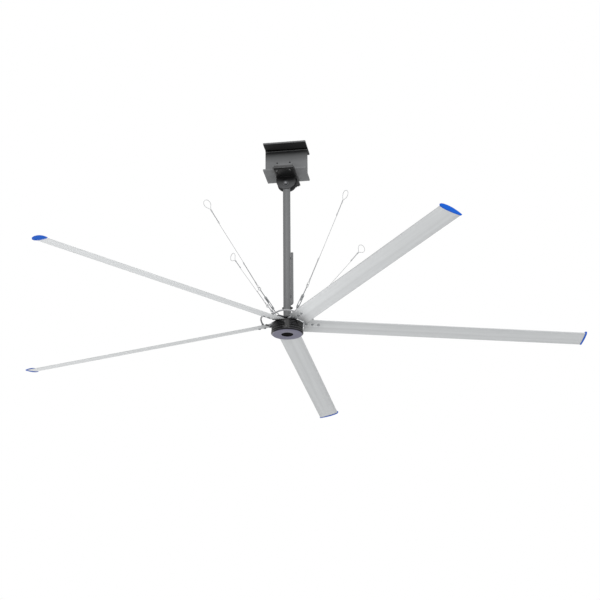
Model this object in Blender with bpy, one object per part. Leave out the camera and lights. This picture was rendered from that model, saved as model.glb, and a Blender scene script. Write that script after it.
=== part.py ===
"""Ceiling fan of the high volume, low speed kind, hung from a stub of H-beam on a downrod.

Metres, +Z up. The origin is the middle of the beam's top face, and the beam runs along X.
Each object is one piece. Empties stand on the joint axes, and the moving pieces are their children.
"""
import math

import bmesh
import bpy
from mathutils import Matrix, Vector

# General fits
GAP = 0.0003              # clearance between pieces that touch
OVERRUN = 0.002           # how far a cutter runs past what it cuts
UP = Vector((0, 0, 1))

# Beam
BEAM_LENGTH = 0.348
BEAM_HEIGHT = 0.250
BEAM_WIDTH = 0.250
BEAM_WEB = 0.009
BEAM_FLANGE = 0.014
BEAM_ROOT_RADIUS = 0.013

# Beam clamp
PLATE_EDGE = 0.023         # from a bolt's axis to the plate's end, across the beam
PLATE_WIDTH = 0.175       # along the beam
PLATE_THICKNESS = 0.012
BAR_THICKNESS = 0.012
BAR_WIDTH = 0.150
BAR_HEEL = 0.010
BAR_GRIP = 0.020          # how far a clamp bar reaches over the flange
CLAMP_BOLT_RADIUS = 0.006
CLAMP_BOLT_SPACING = 0.104
CLAMP_BOLT_OUTSET = 0.034  # from the flange's edge to the bolt's axis
CLAMP_BOLT_TIP = 0.004

# Hanger bracket
BRACKET_WIDTH = 0.158
BASE_EDGE = 0.011          # from a bolt's axis to the end of the base
BRACKET_BASE = 0.010
CHEEK_THICKNESS = 0.007
CHEEK_HEIGHT = 0.107
CHEEK_CORNER = 0.070
PIVOT_BELOW_BASE = 0.0624
PIVOT_BOLT_RADIUS = 0.010
PIVOT_WASHER_RADIUS = 0.025
PIVOT_WASHER = 0.004

# Downrod
ROD_RADIUS = 0.03015
ROD_WALL = 0.004
ROD_ABOVE_PIVOT = 0.035
BLADE_DROP = 1.205        # from the pivot's axis to the plane of the blades

# Cable conduit beside the rod
CONDUIT_RADIUS = 0.0100
CONDUIT_WALL = 0.0018
CONDUIT_LENGTH = 0.440
CONDUIT_ABOVE_BLADES = 0.165
CONDUIT_STANDOFF = 0.0015
CONDUIT_BEND = 0.013
CONDUIT_BEND_STEPS = 4
TAB_HEIGHT = 0.020
TAB_WIDTH = 0.010
TAB_INSET = 0.050

# Guy plate and hooks
GUY_COUNT = 4
GUY_FIRST_ANGLE = math.radians(45)
GUY_PLATE_ABOVE_BLADES = 0.0463
GUY_PLATE_THICKNESS = 0.008
GUY_PLATE_RADIUS = 0.039
LUG_RADIUS = 0.0845       # from the rotor's axis to a lug's hole
LUG_HOLE = 0.005
LUG_RIM = 0.006
LUG_WIDTH = 0.024
HOOK_BORE = 0.011
HOOK_WIRE = 0.003
HOOK_TIP_ANGLE = math.radians(325)
HOOK_NECK_ANGLE = math.radians(38)
GUY_SLOPE = math.radians(46.5)
WIRE_SLOPE = math.radians(50.06)
STUD_RADIUS = 0.004
HOOK_TO_FRAME = 0.053
HOOK_HEAD_RADIUS = 0.0062
HOOK_HEAD = 0.006
FRAME_LENGTH = 0.119
FRAME_BOSS = 0.018
FRAME_RADIUS = 0.0095
FRAME_RAIL = 0.0055
HOOK_TO_EYE = 0.249
EYE_RADIUS = 0.011
EYE_WIRE = 0.0028
STUD_IN_FRAME = 0.056     # length of the eye's thread inside the frame

# Wire rope: stations along the guy from where it bears in the eye
ROPE_RADIUS = 0.002
ROPE_PAIR = 0.00225       # half the distance between the two strands of a doubled end
LOWER_LOOP = [(0.0215, 0.0061), (0.0085, 0.0086), (0.0020, 0.0056)]
LOWER_NECK = 0.0360
LOWER_TAIL_END = 0.2380
LOWER_PAIR_END = 0.2450
UPPER_PAIR_START = 0.5850
UPPER_TAIL_END = 0.5940
UPPER_NECK = 0.7240
UPPER_THROAT = (0.7320, 0.0060)
UPPER_LOOP_CENTRE = 0.7760
UPPER_LOOP_RADIUS = 0.0340
UPPER_LOOP_SWEEP = math.radians(131)
UPPER_LOOP_STEPS = 8
FERRULE_ACROSS = 0.0062
FERRULE_THROUGH = 0.0040
FERRULE_INNER_LENGTH = 0.022
FERRULE_OUTER_LENGTH = 0.018
LOWER_INNER_FERRULE = 0.0490
LOWER_OUTER_FERRULE = 0.2260
UPPER_INNER_FERRULE = 0.7110
UPPER_OUTER_FERRULE = 0.6060

# Motor shaft and stator
SPIGOT_LENGTH = 0.105
CROSS_BOLT_RADIUS = 0.006
CROSS_BOLT_ABOVE_BLADES = 0.130
COLLAR_RADIUS = 0.036
COLLAR = 0.006
NECK_RADIUS = 0.029
SHAFT_SEAT = 0.0235
UPPER_JOURNAL = 0.0250
LOWER_JOURNAL = 0.017
CABLE_BORE = 0.011
CABLE_EXIT = 0.0045        # radius of the hole that leads from the bore to the winding
STATOR_HEIGHT = 0.030
SLOT_COUNT = 9
SLOT_DEPTH = 0.034
SLOT_MOUTH = 0.026
WINDING_WALL = 0.009
AIR_GAP = 0.001
MAGNET_THICKNESS = 0.0055

# Motor drum and covers
DRUM_RADIUS = 0.125
DRUM_WALL = 0.006
DRUM_TOP_ABOVE_BLADES = 0.008
DRUM_TOP_WALL = 0.012
DRUM_CHAMFER = 0.018
DRUM_CHAMFER_HEIGHT = 0.012
DRUM_HEIGHT = 0.084
DRUM_BEAD = 0.002
DRUM_BEAD_HEIGHT = 0.008
NECK_CLEARANCE = 0.0015
BEARING_HOUSING = 0.007
UPPER_BEARING_RADIUS = 0.036
UPPER_BEARING_HEIGHT = 0.016
BEARING_LIP = 0.002
COVER_RADIUS = 0.127
COVER_FACE_RADIUS = 0.117
COVER_HEIGHT = 0.0157
COVER_EDGE = 0.008
COVER_DISC = 0.014
COVER_SPIGOT = 0.006
RECESS_RADIUS = 0.0475
RECESS_DEPTH = 0.008
CAP_INSET = 0.005
LOWER_BEARING_RADIUS = 0.030
LOWER_BEARING_HEIGHT = 0.013
SHAFT_END_CLEARANCE = 0.001

# Hub plate
HUB_PLATE_RADIUS = 0.078
HUB_PLATE = 0.005
HUB_BOLT_RADIUS = 0.004
HUB_BOLT_CIRCLE = 0.064
HUB_BOLT_SPACING = 0.030
HUB_BOLT_DEPTH = 0.008    # how far it goes into the drum

# Blades
BLADE_COUNT = 5
ROTOR_REST_ANGLE = math.radians(-54.8)
SWEEP_RADIUS = 2.440
CHORD = 0.166
BLADE_THICKNESS = 0.018
BLADE_CAMBER = 0.002
BLADE_PITCH = math.radians(14.7)
BLADE_OFFSET = 0.026      # mid-chord behind the radial line
BLADE_SKIN = 0.0022
TRAILING_EDGE = 0.0020
ROOT_STANDOFF = 0.017
CELL_SHARES = ((0.035, 0.090, 1), (0.105, 0.655, 5), (0.670, 0.930, 2))
SECTION_STEPS = 11

# Blade holders
HOLDER_INNER = 0.051
HOLDER_WIDTH = 0.056
HOLDER_BLOCK = 0.020
HOLDER_SHOULDER = 0.003
TONGUE_LEAD = 0.036       # from the radial line towards the leading edge
TONGUE_TRAIL = 0.042
TONGUE_THICKNESS = 0.007
TONGUE_RISE = 0.0014
BLADE_BOLT_RADIUS = 0.005
BLADE_BOLT_COUNT = 3
FIRST_BLADE_BOLT = 0.010
BLADE_BOLT_PITCH = 0.049
TONGUE_END = 0.025

# Tip caps
CAP_LIP = 0.0072
CAP_THICKNESS = 0.013
CAP_CROWN = 0.004
CAP_PLUG = 0.014
CAP_NOSE_SHARE = 0.45     # of the lip, at the two edges

# Links between neighbouring blades
LINK_RADIUS = 0.0062
LINK_BOW = 0.028
LINK_RISE = 0.016
LINK_LEAD = 0.026
LINK_TRAIL = 0.034
LINK_STEPS = 8
LINK_FOOT_RADIUS = 0.0095
LINK_FOOT = 0.010
LINK_BOLT_RADIUS = 0.004

# Roundness
ROUND_LARGE = 32
ROUND_ROD = 20
ROUND_SMALL = 12
ROUND_TUBE = 10
ROUND_WIRE = 8

# Hexagon heads, as shares of the shank's radius
HEAD_RADIUS_SHARE = 1.85
HEAD_HEIGHT_SHARE = 1.30

# Heights, downwards from the beam's top face
FLANGE_UNDERSIDE = -BEAM_HEIGHT
PLATE_TOP = FLANGE_UNDERSIDE - GAP
PLATE_BOTTOM = PLATE_TOP - PLATE_THICKNESS
BASE_TOP = PLATE_BOTTOM - GAP
BASE_BOTTOM = BASE_TOP - BRACKET_BASE
PIVOT_Z = BASE_BOTTOM - PIVOT_BELOW_BASE
BLADE_Z = PIVOT_Z - BLADE_DROP
DRUM_TOP = BLADE_Z + DRUM_TOP_ABOVE_BLADES
DRUM_BOTTOM = DRUM_TOP - DRUM_HEIGHT
COVER_TOP = DRUM_BOTTOM - GAP
COVER_BOTTOM = COVER_TOP - COVER_HEIGHT
GUY_PLATE_BOTTOM = BLADE_Z + GUY_PLATE_ABOVE_BLADES
GUY_PLATE_TOP = GUY_PLATE_BOTTOM + GUY_PLATE_THICKNESS
ROD_BOTTOM = GUY_PLATE_TOP + GAP
ROD_TOP = PIVOT_Z + ROD_ABOVE_PIVOT

# Sizes that follow from those above
ROD_BORE = ROD_RADIUS - ROD_WALL
SPIGOT_RADIUS = ROD_BORE - GAP
DRUM_BORE = DRUM_RADIUS - DRUM_WALL
DRUM_EYE = NECK_RADIUS + NECK_CLEARANCE
MAGNET_RADIUS = DRUM_BORE - GAP
STATOR_RADIUS = MAGNET_RADIUS - MAGNET_THICKNESS - AIR_GAP
UPPER_BEARING_TOP = DRUM_TOP - BEARING_LIP - GAP
UPPER_BEARING_BOTTOM = UPPER_BEARING_TOP - UPPER_BEARING_HEIGHT
COVER_DISC_TOP = COVER_BOTTOM + COVER_DISC
RECESS_TOP = COVER_BOTTOM + RECESS_DEPTH
LOWER_BEARING_BOTTOM = COVER_DISC_TOP - GAP
LOWER_BEARING_TOP = LOWER_BEARING_BOTTOM + LOWER_BEARING_HEIGHT
STATOR_MIDDLE = (UPPER_BEARING_BOTTOM + LOWER_BEARING_TOP) / 2
STATOR_TOP = STATOR_MIDDLE + STATOR_HEIGHT / 2
STATOR_BOTTOM = STATOR_MIDDLE - STATOR_HEIGHT / 2
HOLDER_BOTTOM = DRUM_TOP + GAP
HOLDER_TOP = HOLDER_BOTTOM + HOLDER_BLOCK
HUB_PLATE_BOTTOM = HOLDER_TOP + GAP
HUB_PLATE_TOP = HUB_PLATE_BOTTOM + HUB_PLATE
BLADE_ROOT = DRUM_RADIUS + ROOT_STANDOFF
BLADE_END = SWEEP_RADIUS - CAP_THICKNESS - GAP
BLADE_BOLTS = [BLADE_ROOT + FIRST_BLADE_BOLT + k * BLADE_BOLT_PITCH for k in range(BLADE_BOLT_COUNT)]
LINK_STATION = BLADE_BOLTS[1]
BLADE_ANGLES = [ROTOR_REST_ANGLE + k * 2 * math.pi / BLADE_COUNT for k in range(BLADE_COUNT)]
GUY_ANGLES = [GUY_FIRST_ANGLE + k * 2 * math.pi / GUY_COUNT for k in range(GUY_COUNT)]
CLAMP_BOLT_Y = BEAM_WIDTH / 2 + CLAMP_BOLT_OUTSET
BAR_BOTTOM = FLANGE_UNDERSIDE + BEAM_FLANGE + GAP
BAR_TOP = BAR_BOTTOM + BAR_THICKNESS
CHEEK_INNER = ROD_RADIUS + GAP
CHEEK_OUTER = CHEEK_INNER + CHEEK_THICKNESS
HOOK_RING = HOOK_BORE + HOOK_WIRE
CONDUIT_X = ROD_RADIUS + CONDUIT_STANDOFF + CONDUIT_RADIUS


# Tools for shapes

def mesh_from(work, name="shape"):
    """Turn a bmesh into a mesh, with its faces pointing out."""
    bmesh.ops.recalc_face_normals(work, faces=work.faces[:])
    mesh = bpy.data.meshes.new(name)
    work.to_mesh(mesh)
    work.free()
    return mesh


def skinned(rings, closed=False):
    """Join rings of points, each a list of one or of equal counts, into one closed skin."""
    work = bmesh.new()
    rows = [[work.verts.new(point) for point in ring] for ring in rings]
    pairs = list(zip(rows, rows[1:]))
    if closed:
        pairs.append((rows[-1], rows[0]))
    for low, high in pairs:
        count = max(len(low), len(high))
        for k in range(count):
            after = (k + 1) % count
            corners = [low[k % len(low)], low[after % len(low)], high[after % len(high)], high[k % len(high)]]
            corners = [v for i, v in enumerate(corners) if v not in corners[:i]]
            if len(corners) > 2:
                work.faces.new(corners)
    if not closed:
        for row in (rows[0], rows[-1]):
            if len(row) > 2:
                work.faces.new(row)
    return mesh_from(work)


def circle(radius, height, steps):
    """Points of a level circle, or one point on the axis."""
    if radius == 0:
        return [Vector((0, 0, height))]
    turns = [2 * math.pi * k / steps for k in range(steps)]
    return [Vector((radius * math.cos(a), radius * math.sin(a), height)) for a in turns]


def hexagon(radius, height, steps):
    """Points of a hexagon with that corner radius, with as many points as a circle beside it."""
    points = []
    for k in range(steps):
        turn = 2 * math.pi * k / steps
        from_flat = turn % (math.pi / 3) - math.pi / 6
        reach = radius * math.cos(math.pi / 6) / math.cos(from_flat)
        points.append(Vector((reach * math.cos(turn), reach * math.sin(turn), height)))
    return points


def turned(profile, steps=ROUND_LARGE):
    """A turned solid from its profile of radii and heights; one that leaves the axis has a bore."""
    rings = [circle(radius, height, steps) for radius, height in profile]
    return skinned(rings, closed=profile[0][0] > 0)


def rod(radius, low, high, steps=ROUND_SMALL):
    """A plain round bar along Z."""
    return skinned([circle(radius, low, steps), circle(radius, high, steps)])


def block(low, high):
    """A box between two corners."""
    work = bmesh.new()
    low = Vector(low)
    high = Vector(high)
    size = Matrix.Diagonal((high - low).to_4d())
    size[3][3] = 1
    bmesh.ops.create_cube(work, size=1, matrix=Matrix.Translation((low + high) / 2) @ size)
    return mesh_from(work)


def prism(outline, low, high):
    """A flat outline drawn out along Z."""
    return skinned([[Vector((x, y, height)) for x, y in outline] for height in (low, high)])


def arc(centre, radius, start, end, steps):
    """Points along an arc, both ends included."""
    points = []
    for k in range(steps + 1):
        turn = start + (end - start) * k / steps
        points.append((centre[0] + radius * math.cos(turn), centre[1] + radius * math.sin(turn)))
    return points


def swept(path, radius, steps=ROUND_WIRE, closed=False):
    """A round bar along a path of points."""
    path = [Vector(point) for point in path]
    count = len(path)
    rings = []
    side = None
    for k, point in enumerate(path):
        before = path[k - 1] if closed or k > 0 else point
        after = path[(k + 1) % count] if closed or k < count - 1 else point
        along = (after - before).normalized()
        if side is None:
            side = along.orthogonal().normalized()
        side = (side - along * side.dot(along)).normalized()
        other = along.cross(side)
        turns = [2 * math.pi * n / steps for n in range(steps)]
        rings.append([point + radius * (side * math.cos(a) + other * math.sin(a)) for a in turns])
    return skinned(rings, closed)


def moved(mesh, matrix):
    """A copy of a mesh in another place."""
    copy = mesh.copy()
    copy.transform(matrix)
    return copy


def combined(base, others, operation="DIFFERENCE"):
    """Cut closed meshes from a base, or join them to it, with the exact Boolean."""
    home = bpy.context.scene.collection.objects
    target = bpy.data.objects.new("target", base)
    home.link(target)
    helpers = []
    for other in others:
        helper = bpy.data.objects.new("helper", other)
        helper.hide_render = True
        helper.display_type = "WIRE"
        home.link(helper)
        step = target.modifiers.new("step", "BOOLEAN")
        step.operation = operation
        step.solver = "EXACT"
        step.object = helper
        helpers.append(helper)
    bpy.context.view_layer.update()
    graph = bpy.context.evaluated_depsgraph_get()
    result = bpy.data.meshes.new_from_object(target.evaluated_get(graph))
    for used in helpers + [target]:
        bpy.data.objects.remove(used)
    return result


def clear_hole(radius, steps):
    """The radius of a hole with flat sides that clears a round shank."""
    return (radius + GAP) / math.cos(math.pi / steps)


def hex_bolt(radius, grip, tip, steps=6, washer=None):
    """A bolt with its nut: the head ends at zero height, the nut starts at the grip."""
    head = radius * HEAD_HEIGHT_SHARE
    corner = radius * HEAD_RADIUS_SHARE
    rings = [hexagon(corner, -head, steps), hexagon(corner, 0, steps)]
    end = [hexagon(corner, grip, steps), hexagon(corner, grip + head, steps)]
    if washer:
        wide, thick = washer
        rings = [hexagon(corner, -head - thick, steps), hexagon(corner, -thick, steps),
                 circle(wide, -thick, steps), circle(wide, 0, steps)]
        end = [circle(wide, grip, steps), circle(wide, grip + thick, steps),
               hexagon(corner, grip + thick, steps), hexagon(corner, grip + thick + head, steps)]
    shank = [circle(radius, 0, steps), circle(radius, grip, steps)]
    last = end[-1][0].z
    point = [circle(radius, last, steps), circle(radius, last + tip, steps)] if tip else []
    return skinned(rings + shank + end + point)


def hex_screw(radius, length, steps=6):
    """A screw that hangs down from its head's underside at zero height."""
    head = radius * HEAD_HEIGHT_SHARE
    corner = radius * HEAD_RADIUS_SHARE
    return skinned([circle(radius, -length, steps), circle(radius, 0, steps),
                    hexagon(corner, 0, steps), hexagon(corner, head, steps)])


def turn_z(angle):
    return Matrix.Rotation(angle, 4, "Z")


# Local Z to +Y and +X
Z_TO_Y = Matrix.Rotation(-math.pi / 2, 4, "X")
Z_TO_X = Matrix.Rotation(math.pi / 2, 4, "Y")
# A section drawn in (Y, Z) and drawn out along X
SECTION_TO_X = Matrix(((0, 0, 1, 0), (1, 0, 0, 0), (0, 1, 0, 0), (0, 0, 0, 1)))
# A section drawn in (X, Z) and drawn out along -Y
SECTION_TO_Y = Matrix.Rotation(math.pi / 2, 4, "X")


def material(name, colour, roughness, metallic):
    """A plain Principled material."""
    made = bpy.data.materials.new(name)
    made.use_nodes = True
    shader = made.node_tree.nodes["Principled BSDF"]
    shader.inputs["Base Color"].default_value = (*colour, 1)
    shader.inputs["Roughness"].default_value = roughness
    shader.inputs["Metallic"].default_value = metallic
    made.diffuse_color = (*colour, 1)
    return made


def axis_empty(name, place, parent=None):
    """An empty that stands on a joint's axis."""
    empty = bpy.data.objects.new(name, None)
    bpy.context.scene.collection.objects.link(empty)
    if parent:
        empty.parent = parent
        bpy.context.view_layer.update()
        place = parent.matrix_world.inverted() @ place
    empty.matrix_basis = place
    bpy.context.view_layer.update()
    return empty


def put(name, mesh, paint, parent, place=None):
    """Place a mesh, given in world coordinates or with its own placement, under a joint's empty."""
    if place is None:
        mesh.transform(parent.matrix_world.inverted())
        place = parent.matrix_world
    piece = bpy.data.objects.new(name, mesh)
    bpy.context.scene.collection.objects.link(piece)
    mesh.materials.clear()
    mesh.materials.append(paint)
    mesh.shade_smooth()
    mesh.set_sharp_from_angle(angle=math.radians(35))
    piece.parent = parent
    piece.matrix_basis = parent.matrix_world.inverted() @ place
    return piece


# Beam and its clamp

def beam_section():
    half = BEAM_WIDTH / 2
    web = BEAM_WEB / 2
    bend = BEAM_ROOT_RADIUS
    under = -BEAM_FLANGE
    over = FLANGE_UNDERSIDE + BEAM_FLANGE
    quarter = math.pi / 2
    left = [(-half, 0), (-half, under)]
    left += arc((-web - bend, under - bend), bend, quarter, 0, 3)
    left += arc((-web - bend, over + bend), bend, 0, -quarter, 3)
    left += [(-half, over), (-half, FLANGE_UNDERSIDE)]
    right = [(-y, z) for y, z in reversed(left)]
    return moved(prism(left + right, -BEAM_LENGTH / 2, BEAM_LENGTH / 2), SECTION_TO_X)


def clamp_bolt_places():
    half = CLAMP_BOLT_SPACING / 2
    return [(x, y) for y in (-CLAMP_BOLT_Y, CLAMP_BOLT_Y) for x in (-half, half)]


def clamp_holes(low, high, places):
    radius = clear_hole(CLAMP_BOLT_RADIUS, ROUND_WIRE)
    hole = rod(radius, low - OVERRUN, high + OVERRUN, ROUND_WIRE)
    return [moved(hole, Matrix.Translation((x, y, 0))) for x, y in places]


def clamp_plate():
    half = Vector((PLATE_WIDTH / 2, CLAMP_BOLT_Y + PLATE_EDGE, 0))
    plate = block(-half + UP * PLATE_BOTTOM, half + UP * PLATE_TOP)
    return combined(plate, clamp_holes(PLATE_BOTTOM, PLATE_TOP, clamp_bolt_places()))


def clamp_bar():
    """An L-shaped bar over the rear edge of the bottom flange, with its heel on the plate."""
    inner = BEAM_WIDTH / 2 - BAR_GRIP
    heel = CLAMP_BOLT_Y + CLAMP_BOLT_RADIUS * HEAD_RADIUS_SHARE
    outer = heel + BAR_HEEL
    foot = PLATE_TOP + GAP
    outline = [(inner, BAR_BOTTOM), (heel, BAR_BOTTOM), (heel, foot), (outer, foot),
               (outer, BAR_TOP), (inner, BAR_TOP)]
    bar = moved(prism(outline, -BAR_WIDTH / 2, BAR_WIDTH / 2), SECTION_TO_X)
    return combined(bar, clamp_holes(BAR_BOTTOM, BAR_TOP, clamp_bolt_places()[2:]))


def clamp_bolt():
    low = BASE_BOTTOM - GAP
    bolt = hex_bolt(CLAMP_BOLT_RADIUS, BAR_TOP + GAP - low, CLAMP_BOLT_TIP)
    return moved(bolt, Matrix.Translation(UP * low))


def hanger_bracket():
    """A base plate with two round-ended cheeks that hang down on either side of the rod."""
    half = Vector((BRACKET_WIDTH / 2, CLAMP_BOLT_Y + BASE_EDGE, 0))
    base = block(-half + UP * BASE_BOTTOM, half + UP * BASE_TOP)
    side = BRACKET_WIDTH / 2
    low = BASE_BOTTOM - CHEEK_HEIGHT
    corner = min(CHEEK_CORNER, side)
    centre_x = side - corner
    centre_z = low + corner
    weld = BASE_BOTTOM + BRACKET_BASE / 2
    outline = [(-side, weld)]
    outline += arc((-centre_x, centre_z), corner, math.pi, 1.5 * math.pi, 5)
    outline += arc((centre_x, centre_z), corner, 1.5 * math.pi, 2 * math.pi, 5)
    outline += [(side, weld)]
    near = moved(prism(outline, CHEEK_INNER, CHEEK_OUTER), SECTION_TO_Y)
    far = moved(prism(outline, -CHEEK_OUTER, -CHEEK_INNER), SECTION_TO_Y)
    bracket = combined(base, [near, far], "UNION")
    pin = moved(rod(clear_hole(PIVOT_BOLT_RADIUS, ROUND_SMALL), -side, side),
                Matrix.Translation(UP * PIVOT_Z) @ Z_TO_Y)
    return combined(bracket, clamp_holes(BASE_BOTTOM, BASE_TOP, clamp_bolt_places()) + [pin])


def pivot_bolt():
    grip = 2 * (CHEEK_OUTER + GAP)
    bolt = hex_bolt(PIVOT_BOLT_RADIUS, grip, CLAMP_BOLT_TIP, ROUND_SMALL,
                    (PIVOT_WASHER_RADIUS, PIVOT_WASHER))
    return moved(bolt, Matrix.Translation((0, -grip / 2, PIVOT_Z)) @ Z_TO_Y)


# Downrod and what it carries

def downrod():
    tube = turned([(ROD_BORE, ROD_BOTTOM), (ROD_RADIUS, ROD_BOTTOM), (ROD_RADIUS, ROD_TOP),
                   (ROD_BORE, ROD_TOP)], ROUND_ROD)
    pivot = moved(rod(clear_hole(PIVOT_BOLT_RADIUS, ROUND_SMALL), -ROD_RADIUS - OVERRUN, ROD_RADIUS + OVERRUN),
                  Matrix.Translation(UP * PIVOT_Z) @ Z_TO_Y)
    cross = moved(rod(clear_hole(CROSS_BOLT_RADIUS, ROUND_SMALL), -ROD_RADIUS - OVERRUN, ROD_RADIUS + OVERRUN),
                  Matrix.Translation(UP * (BLADE_Z + CROSS_BOLT_ABOVE_BLADES)) @ Z_TO_X)
    entry = moved(rod(clear_hole(CONDUIT_RADIUS, ROUND_TUBE), 0, ROD_RADIUS + OVERRUN, ROUND_TUBE),
                  Matrix.Translation(UP * (BLADE_Z + CONDUIT_ABOVE_BLADES)) @ Z_TO_X)
    return combined(tube, [pivot, cross, entry])


def conduit_path(overrun):
    """Down beside the rod, round a bend and into the rod's wall."""
    low = BLADE_Z + CONDUIT_ABOVE_BLADES
    bend = (CONDUIT_X - CONDUIT_BEND, low + CONDUIT_BEND)
    points = [(CONDUIT_X, low + CONDUIT_LENGTH + overrun)]
    points += arc(bend, CONDUIT_BEND, 0, -math.pi / 2, CONDUIT_BEND_STEPS)
    points += [(ROD_BORE - overrun, low)]
    return [Vector((x, 0, z)) for x, z in points]


def cable_conduit():
    tube = swept(conduit_path(0), CONDUIT_RADIUS, ROUND_TUBE)
    bore = swept(conduit_path(OVERRUN), CONDUIT_RADIUS - CONDUIT_WALL, ROUND_TUBE)
    low = BLADE_Z + CONDUIT_ABOVE_BLADES + CONDUIT_BEND
    high = BLADE_Z + CONDUIT_ABOVE_BLADES + CONDUIT_LENGTH
    tabs = []
    for middle in (low + TAB_INSET, high - TAB_INSET):
        tabs.append(block((ROD_RADIUS + GAP, -TAB_WIDTH / 2, middle - TAB_HEIGHT / 2),
                          (CONDUIT_X - CONDUIT_RADIUS / 2, TAB_WIDTH / 2, middle + TAB_HEIGHT / 2)))
    return combined(combined(tube, tabs, "UNION"), [bore])


def cross_bolt():
    grip = 2 * (ROD_RADIUS + GAP)
    bolt = hex_bolt(CROSS_BOLT_RADIUS, grip, CLAMP_BOLT_TIP)
    return moved(bolt, Matrix.Translation((-grip / 2, 0, BLADE_Z + CROSS_BOLT_ABOVE_BLADES)) @ Z_TO_X)


def guy_plate():
    """A disc round the shaft with one lug for each guy."""
    half = LUG_WIDTH / 2
    meet = math.asin(half / GUY_PLATE_RADIUS)
    end = LUG_RADIUS + LUG_HOLE + LUG_RIM - half
    outline = []
    for angle in GUY_ANGLES:
        lug = arc((end, 0), half, -math.pi / 2, math.pi / 2, 5)
        outline += [(x * math.cos(angle) - y * math.sin(angle), x * math.sin(angle) + y * math.cos(angle))
                    for x, y in lug]
        outline += arc((0, 0), GUY_PLATE_RADIUS, angle + meet, angle + 2 * math.pi / GUY_COUNT - meet, 3)
    plate = prism(outline, GUY_PLATE_BOTTOM, GUY_PLATE_TOP)
    bore = rod(clear_hole(SPIGOT_RADIUS, ROUND_ROD), GUY_PLATE_BOTTOM - OVERRUN, GUY_PLATE_TOP + OVERRUN, ROUND_ROD)
    hole = rod(LUG_HOLE, GUY_PLATE_BOTTOM - OVERRUN, GUY_PLATE_TOP + OVERRUN, ROUND_WIRE)
    holes = [moved(hole, turn_z(angle) @ Matrix.Translation((LUG_RADIUS, 0, 0))) for angle in GUY_ANGLES]
    return combined(plate, [bore] + holes)


def motor_shaft():
    collar_top = GUY_PLATE_BOTTOM - GAP
    collar_bottom = collar_top - COLLAR
    journal_top = UPPER_BEARING_TOP + GAP
    seat_top = UPPER_BEARING_BOTTOM
    foot = LOWER_BEARING_TOP + GAP
    low = RECESS_TOP + CAP_INSET + SHAFT_END_CLEARANCE
    profile = [(0, low), (LOWER_JOURNAL, low), (LOWER_JOURNAL, foot), (SHAFT_SEAT, foot), (SHAFT_SEAT, seat_top),
               (UPPER_JOURNAL, seat_top), (UPPER_JOURNAL, journal_top), (NECK_RADIUS, journal_top),
               (NECK_RADIUS, collar_bottom), (COLLAR_RADIUS, collar_bottom), (COLLAR_RADIUS, collar_top),
               (SPIGOT_RADIUS, collar_top), (SPIGOT_RADIUS, collar_top + SPIGOT_LENGTH),
               (0, collar_top + SPIGOT_LENGTH)]
    shaft = turned(profile, ROUND_ROD)
    cross = moved(rod(clear_hole(CROSS_BOLT_RADIUS, ROUND_SMALL), -ROD_RADIUS, ROD_RADIUS),
                  Matrix.Translation(UP * (BLADE_Z + CROSS_BOLT_ABOVE_BLADES)) @ Z_TO_X)
    exit_z = (UPPER_BEARING_BOTTOM + STATOR_TOP) / 2
    bore = rod(CABLE_BORE, exit_z - CABLE_EXIT, collar_top + SPIGOT_LENGTH + OVERRUN)
    exit_hole = moved(rod(CABLE_EXIT, 0, ROD_RADIUS, ROUND_WIRE), Matrix.Translation(UP * exit_z) @ Z_TO_X)
    return combined(shaft, [cross, bore, exit_hole])


def slot_angles():
    return [2 * math.pi * k / SLOT_COUNT for k in range(SLOT_COUNT)]


def stator_core():
    """A laminated disc with open slots round its rim."""
    half = SLOT_MOUTH / 2
    floor = STATOR_RADIUS - SLOT_DEPTH
    mouth = math.asin(half / STATOR_RADIUS)
    outline = []
    for angle in slot_angles():
        slot = [(STATOR_RADIUS * math.cos(mouth), -half), (floor, -half), (floor, half)]
        outline += [(x * math.cos(angle) - y * math.sin(angle), x * math.sin(angle) + y * math.cos(angle))
                    for x, y in slot]
        outline += arc((0, 0), STATOR_RADIUS, angle + mouth, angle + 2 * math.pi / SLOT_COUNT - mouth, 2)[:-1]
    core = prism(outline, STATOR_BOTTOM, STATOR_TOP)
    bore = rod(clear_hole(SHAFT_SEAT, ROUND_ROD), STATOR_BOTTOM - OVERRUN, STATOR_TOP + OVERRUN, ROUND_ROD)
    return combined(core, [bore])


def stator_winding():
    """The copper: a bar in each slot, joined above and below the core by a crown."""
    inner = STATOR_RADIUS - SLOT_DEPTH + GAP
    outer = STATOR_RADIUS - FRAME_RAIL
    half = SLOT_MOUTH / 2 - GAP
    top = STATOR_TOP + GAP
    bottom = STATOR_BOTTOM - GAP
    crowns = []
    for low, high in ((top, top + WINDING_WALL), (bottom - WINDING_WALL, bottom)):
        crowns.append(turned([(inner, low), (outer, low), (outer, high), (inner, high)], 2 * SLOT_COUNT))
    lap = WINDING_WALL / 2
    edge = inner * math.cos(math.pi / SLOT_COUNT / 2) + SLOT_DEPTH / SLOT_COUNT
    bar = block((edge, -half, bottom - lap), (outer - lap, half, top + lap))
    bars = [moved(bar, turn_z(angle)) for angle in slot_angles()]
    return combined(crowns[0], bars + [crowns[1]], "UNION")


# Motor drum and what turns with it

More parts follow.
